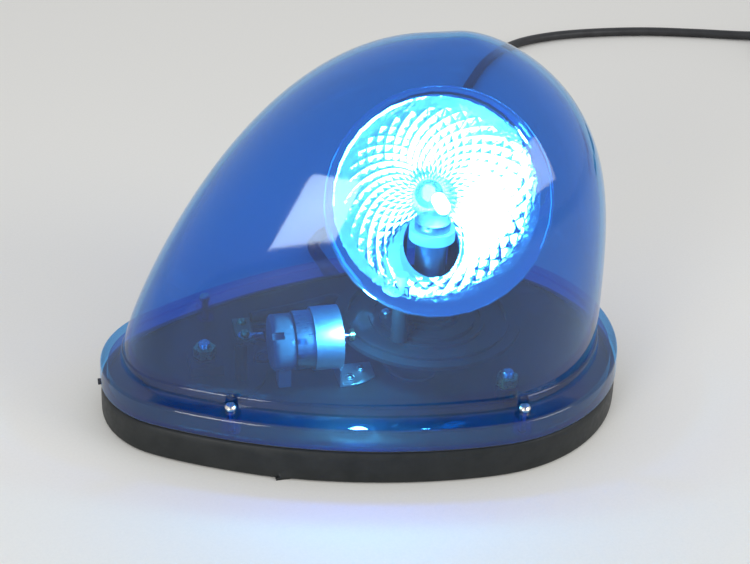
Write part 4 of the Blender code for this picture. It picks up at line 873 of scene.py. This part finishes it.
def worn(
    name, colour, other, roughness, uneven, metallic=0.0, scale=120, grain=2500,
    depth=0.00002, stretch=(1, 1, 1), specular=0.5, glow=0.0,
):
    """A finish with patches between two colours, uneven gloss, a fine grain and, where asked, a
    painted glow.
    """
    made, shader = principled(name, colour, roughness, metallic)
    shader.inputs["Specular IOR Level"].default_value = specular
    # Emission here is painted glow on a piece that is no lamp, standing in for the bulb's light on
    # it
    shader.inputs["Emission Color"].default_value = GLOW_COLOUR
    shader.inputs["Emission Strength"].default_value = glow
    tree = made.node_tree
    patches = spread(tree, noise(tree, scale, PATCH_DETAIL, stretch), 0, 1)
    tree.links.new(tint(tree, patches, colour, other), shader.inputs["Base Color"])
    smears = noise(tree, scale * SMEARS_PER_PATCH, SMEAR_DETAIL, stretch)
    gloss = spread(tree, smears, roughness, roughness + uneven)
    tree.links.new(gloss, shader.inputs["Roughness"])
    bump = node(tree, "ShaderNodeBump", Strength=0.5, Distance=depth)
    tree.links.new(noise(tree, grain, GRAIN_DETAIL, stretch), bump.inputs["Height"])
    tree.links.new(bump.outputs["Normal"], shader.inputs["Normal"])
    return made


def lens_material():
    """Clear blue plastic: what is behind it shows through tinted, under a polished skin."""
    made, shader = principled("clear_blue", LENS_BODY, roughness=0.4)
    tree = made.node_tree
    clear = node(tree, "ShaderNodeBsdfTransparent", Color=LENS_TINT)
    hazy = tree.nodes.new("ShaderNodeMixShader")
    haze = spread(tree, noise(tree, scale=60, detail=4.0), *LENS_HAZE)
    tree.links.new(haze, hazy.inputs["Fac"])
    tree.links.new(clear.outputs["BSDF"], hazy.inputs[1])
    tree.links.new(shader.outputs["BSDF"], hazy.inputs[2])
    gloss = node(tree, "ShaderNodeBsdfGlossy", Color=(1, 1, 1, 1))
    polish = spread(tree, noise(tree, scale=25, detail=5.0), *LENS_POLISH)
    tree.links.new(polish, gloss.inputs["Roughness"])
    scratches = node(tree, "ShaderNodeBump", Strength=0.25, Distance=0.00002)
    marks = noise(tree, scale=60, detail=3.0, stretch=(2, 2, 40))
    tree.links.new(marks, scratches.inputs["Height"])
    tree.links.new(scratches.outputs["Normal"], gloss.inputs["Normal"])
    side = tree.nodes.new("ShaderNodeNewGeometry")
    edge = tree.nodes.new("ShaderNodeFresnel")
    bend = spread(tree, side.outputs["Backfacing"], LENS_IOR, 1 / LENS_IOR, start=0, end=1)
    tree.links.new(bend, edge.inputs["IOR"])
    mix = tree.nodes.new("ShaderNodeMixShader")
    tree.links.new(edge.outputs["Fac"], mix.inputs["Fac"])
    tree.links.new(hazy.outputs["Shader"], mix.inputs[1])
    tree.links.new(gloss.outputs["BSDF"], mix.inputs[2])
    output = tree.nodes["Material Output"]
    tree.links.new(mix.outputs["Shader"], output.inputs["Surface"])
    return made


def lit_material(name, strength, shade):
    """A surface that gives light, a little unevenly, over its own grey shade."""
    made, shader = principled(name, (shade, shade, shade), roughness=0.15)
    shader.inputs["Emission Color"].default_value = GLOW_COLOUR
    tree = made.node_tree
    uneven = spread(tree, noise(tree, scale=400), strength * LEAST_GLOW_SHARE, strength)
    tree.links.new(uneven, shader.inputs["Emission Strength"])
    return made


def bulb_material():
    """Clear glass that glows with what burns inside it."""
    made = lit_material("glowing_glass", GLARE_STRENGTH, shade=0.28)
    tree = made.node_tree
    clear = node(tree, "ShaderNodeBsdfTransparent", Color=(0.97, 0.98, 1.0, 1))
    mix = node(tree, "ShaderNodeMixShader", Fac=0.5)
    tree.links.new(clear.outputs["BSDF"], mix.inputs[1])
    tree.links.new(tree.nodes["Principled BSDF"].outputs["BSDF"], mix.inputs[2])
    tree.links.new(mix.outputs["Shader"], tree.nodes["Material Output"].inputs["Surface"])
    return made


def mirror_material():
    """Bright metallised plastic, a little uneven."""
    made, shader = principled("mirror_bright", MIRROR_COLOUR, roughness=0.07, metallic=0.96)
    tree = made.node_tree
    polish = spread(tree, noise(tree, scale=300, detail=3.0), *MIRROR_POLISH)
    tree.links.new(polish, shader.inputs["Roughness"])
    bump = node(tree, "ShaderNodeBump", Strength=0.45, Distance=0.0002)
    tree.links.new(noise(tree, scale=170, detail=2.0), bump.inputs["Height"])
    tree.links.new(bump.outputs["Normal"], shader.inputs["Normal"])
    return made


def finishes():
    """Every finish by name, made once."""
    made = {key: worn(*values, **more) for key, (*values, more) in FINISHES.items()}
    made["mirror"] = mirror_material()
    made["lens"] = lens_material()
    made["bulb"] = bulb_material()
    made["core"] = lit_material("white_hot", CORE_STRENGTH, shade=0.9)
    return made


def dress(piece, made):
    """Give a piece one finish in its object's slots."""
    if not piece.data.materials:
        piece.data.materials.append(made)
    for slot in piece.material_slots:
        slot.link = "OBJECT"
        slot.material = made


def finish_of(name, made):
    """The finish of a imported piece, by the longest start of its name."""
    starts = [s for s in NODE_FINISHES if name.startswith(s)]
    return made[NODE_FINISHES[max(starts, key=len)]] if starts else None


def rounder(name):
    """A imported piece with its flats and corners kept, and its arcs made round."""
    work = bmesh.new()
    work.from_mesh(frame["nodes"][name].data)
    bmesh.ops.remove_doubles(work, verts=work.verts, dist=ROUND_MERGE)
    flat = math.radians(ROUND_FLAT_DEGREES)
    bmesh.ops.dissolve_limit(work, angle_limit=flat, verts=work.verts, edges=work.edges)
    wide = [face for face in work.faces if len(face.verts) > 4]
    bmesh.ops.triangulate(work, faces=wide)
    crease = work.edges.layers.float.new("crease_edge")
    for edge in work.edges:
        if edge.calc_face_angle(math.pi) > math.radians(ROUND_CORNER_DEGREES):
            edge[crease] = 1
    piece = link(f"{name}.round", finish_mesh(f"{name}.round", work))
    step = piece.modifiers.new("round", "SUBSURF")
    step.levels = step.render_levels = ROUND_LEVELS
    graph = bpy.context.evaluated_depsgraph_get()
    piece.data = bpy.data.meshes.new_from_object(piece.evaluated_get(graph))
    piece.modifiers.clear()
    piece.data.materials.clear()
    piece.data.shade_smooth()
    piece.data.set_sharp_from_angle(angle=math.radians(ROUND_CORNER_DEGREES))
    bodies = frame["record"]["behaviour"]["bodies"]
    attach(piece, next(body for body, names in bodies.items() if name in names))
    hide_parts(name)
    return piece


def dress_nodes(made, kept):
    """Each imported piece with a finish, rounder unless it is one of those kept as they are."""
    pieces = {}
    for name, packed in frame["nodes"].items():
        finish = finish_of(name, made)
        if finish:
            pieces[name] = packed if name in kept else rounder(name)
            dress(pieces[name], finish)
    return pieces


# Stage


def floor():
    """A plain pale surface that looks the same to the camera, mirrors and clear pieces."""
    mesh = bpy.data.meshes.new("floor")
    half = FLOOR_HALF
    corners = [(-half, -half, 0), (half, -half, 0), (half, half, 0), (-half, half, 0)]
    mesh.from_pydata(corners, [], [(0, 1, 2, 3)])
    surface = link("floor", mesh)
    made, shader = principled("pale_floor", FLOOR_COLOUR, roughness=0.75)
    tree = made.node_tree
    weave = spread(tree, noise(tree, scale=900, detail=2.0), 0, 1)
    darker = [c * FLOOR_WEAVE_SHARE for c in FLOOR_COLOUR]
    tree.links.new(tint(tree, weave, FLOOR_COLOUR, darker), shader.inputs["Base Color"])
    dress(surface, made)


def world():
    """Even light, which mirrors, clear pieces and the camera see as a pale room."""
    made = bpy.data.worlds.new("studio")
    made.use_nodes = True
    bpy.context.scene.world = made
    tree = made.node_tree
    lamp = tree.nodes["Background"]
    lamp.inputs["Color"].default_value = ROOM_COLOUR
    path = tree.nodes.new("ShaderNodeLightPath")
    seen = tree.nodes.new("ShaderNodeMath")
    seen.operation = "MAXIMUM"
    tree.links.new(path.outputs["Is Camera Ray"], seen.inputs[0])
    tree.links.new(path.outputs["Is Glossy Ray"], seen.inputs[1])
    level = tree.nodes.new("ShaderNodeMapRange")
    level.inputs["To Min"].default_value = WORLD_STRENGTH
    level.inputs["To Max"].default_value = SEEN_STRENGTH
    tree.links.new(seen.outputs["Value"], level.inputs["Value"])
    tree.links.new(level.outputs["Result"], lamp.inputs["Strength"])


def soft_box(name, place, target, width, height, power):
    data = bpy.data.lights.new(name, "AREA")
    data.shape = "RECTANGLE"
    data.size, data.size_y = width, height
    data.spread = math.radians(LAMP_SPREAD_DEGREES)
    data.energy = power
    lamp = link(name, data)
    lamp.matrix_world = frame_at(place, Vector(place) - Vector(target))


def bulb_glow(name, place, radius, power):
    """What the lit bulb throws down past the reflector, on the pieces over the tray."""
    data = bpy.data.lights.new(name, "POINT")
    data.shadow_soft_size = radius
    data.energy = power
    lamp = link(name, data)
    lamp.location = place
    lamp.visible_camera = False


camera()
floor()
world()
for box in SOFT_BOXES:
    soft_box(*box)
bulb_glow("glow", GLOW_PLACE, GLOW_RADIUS, GLOW_POWER)
made = finishes()
pieces = dress_nodes(made, ("plug_fuse",))
dress(supply_cord(), made["cord"])
inner_leads(made)
dress(make_lens(), made["lens"])
dress(make_reflector(), made["mirror"])
dress(make_bulb(), made["bulb"])
dress(make_core(), made["core"])

bpy.context.scene.view_settings.view_transform = "Standard"
bpy.context.view_layer.update()
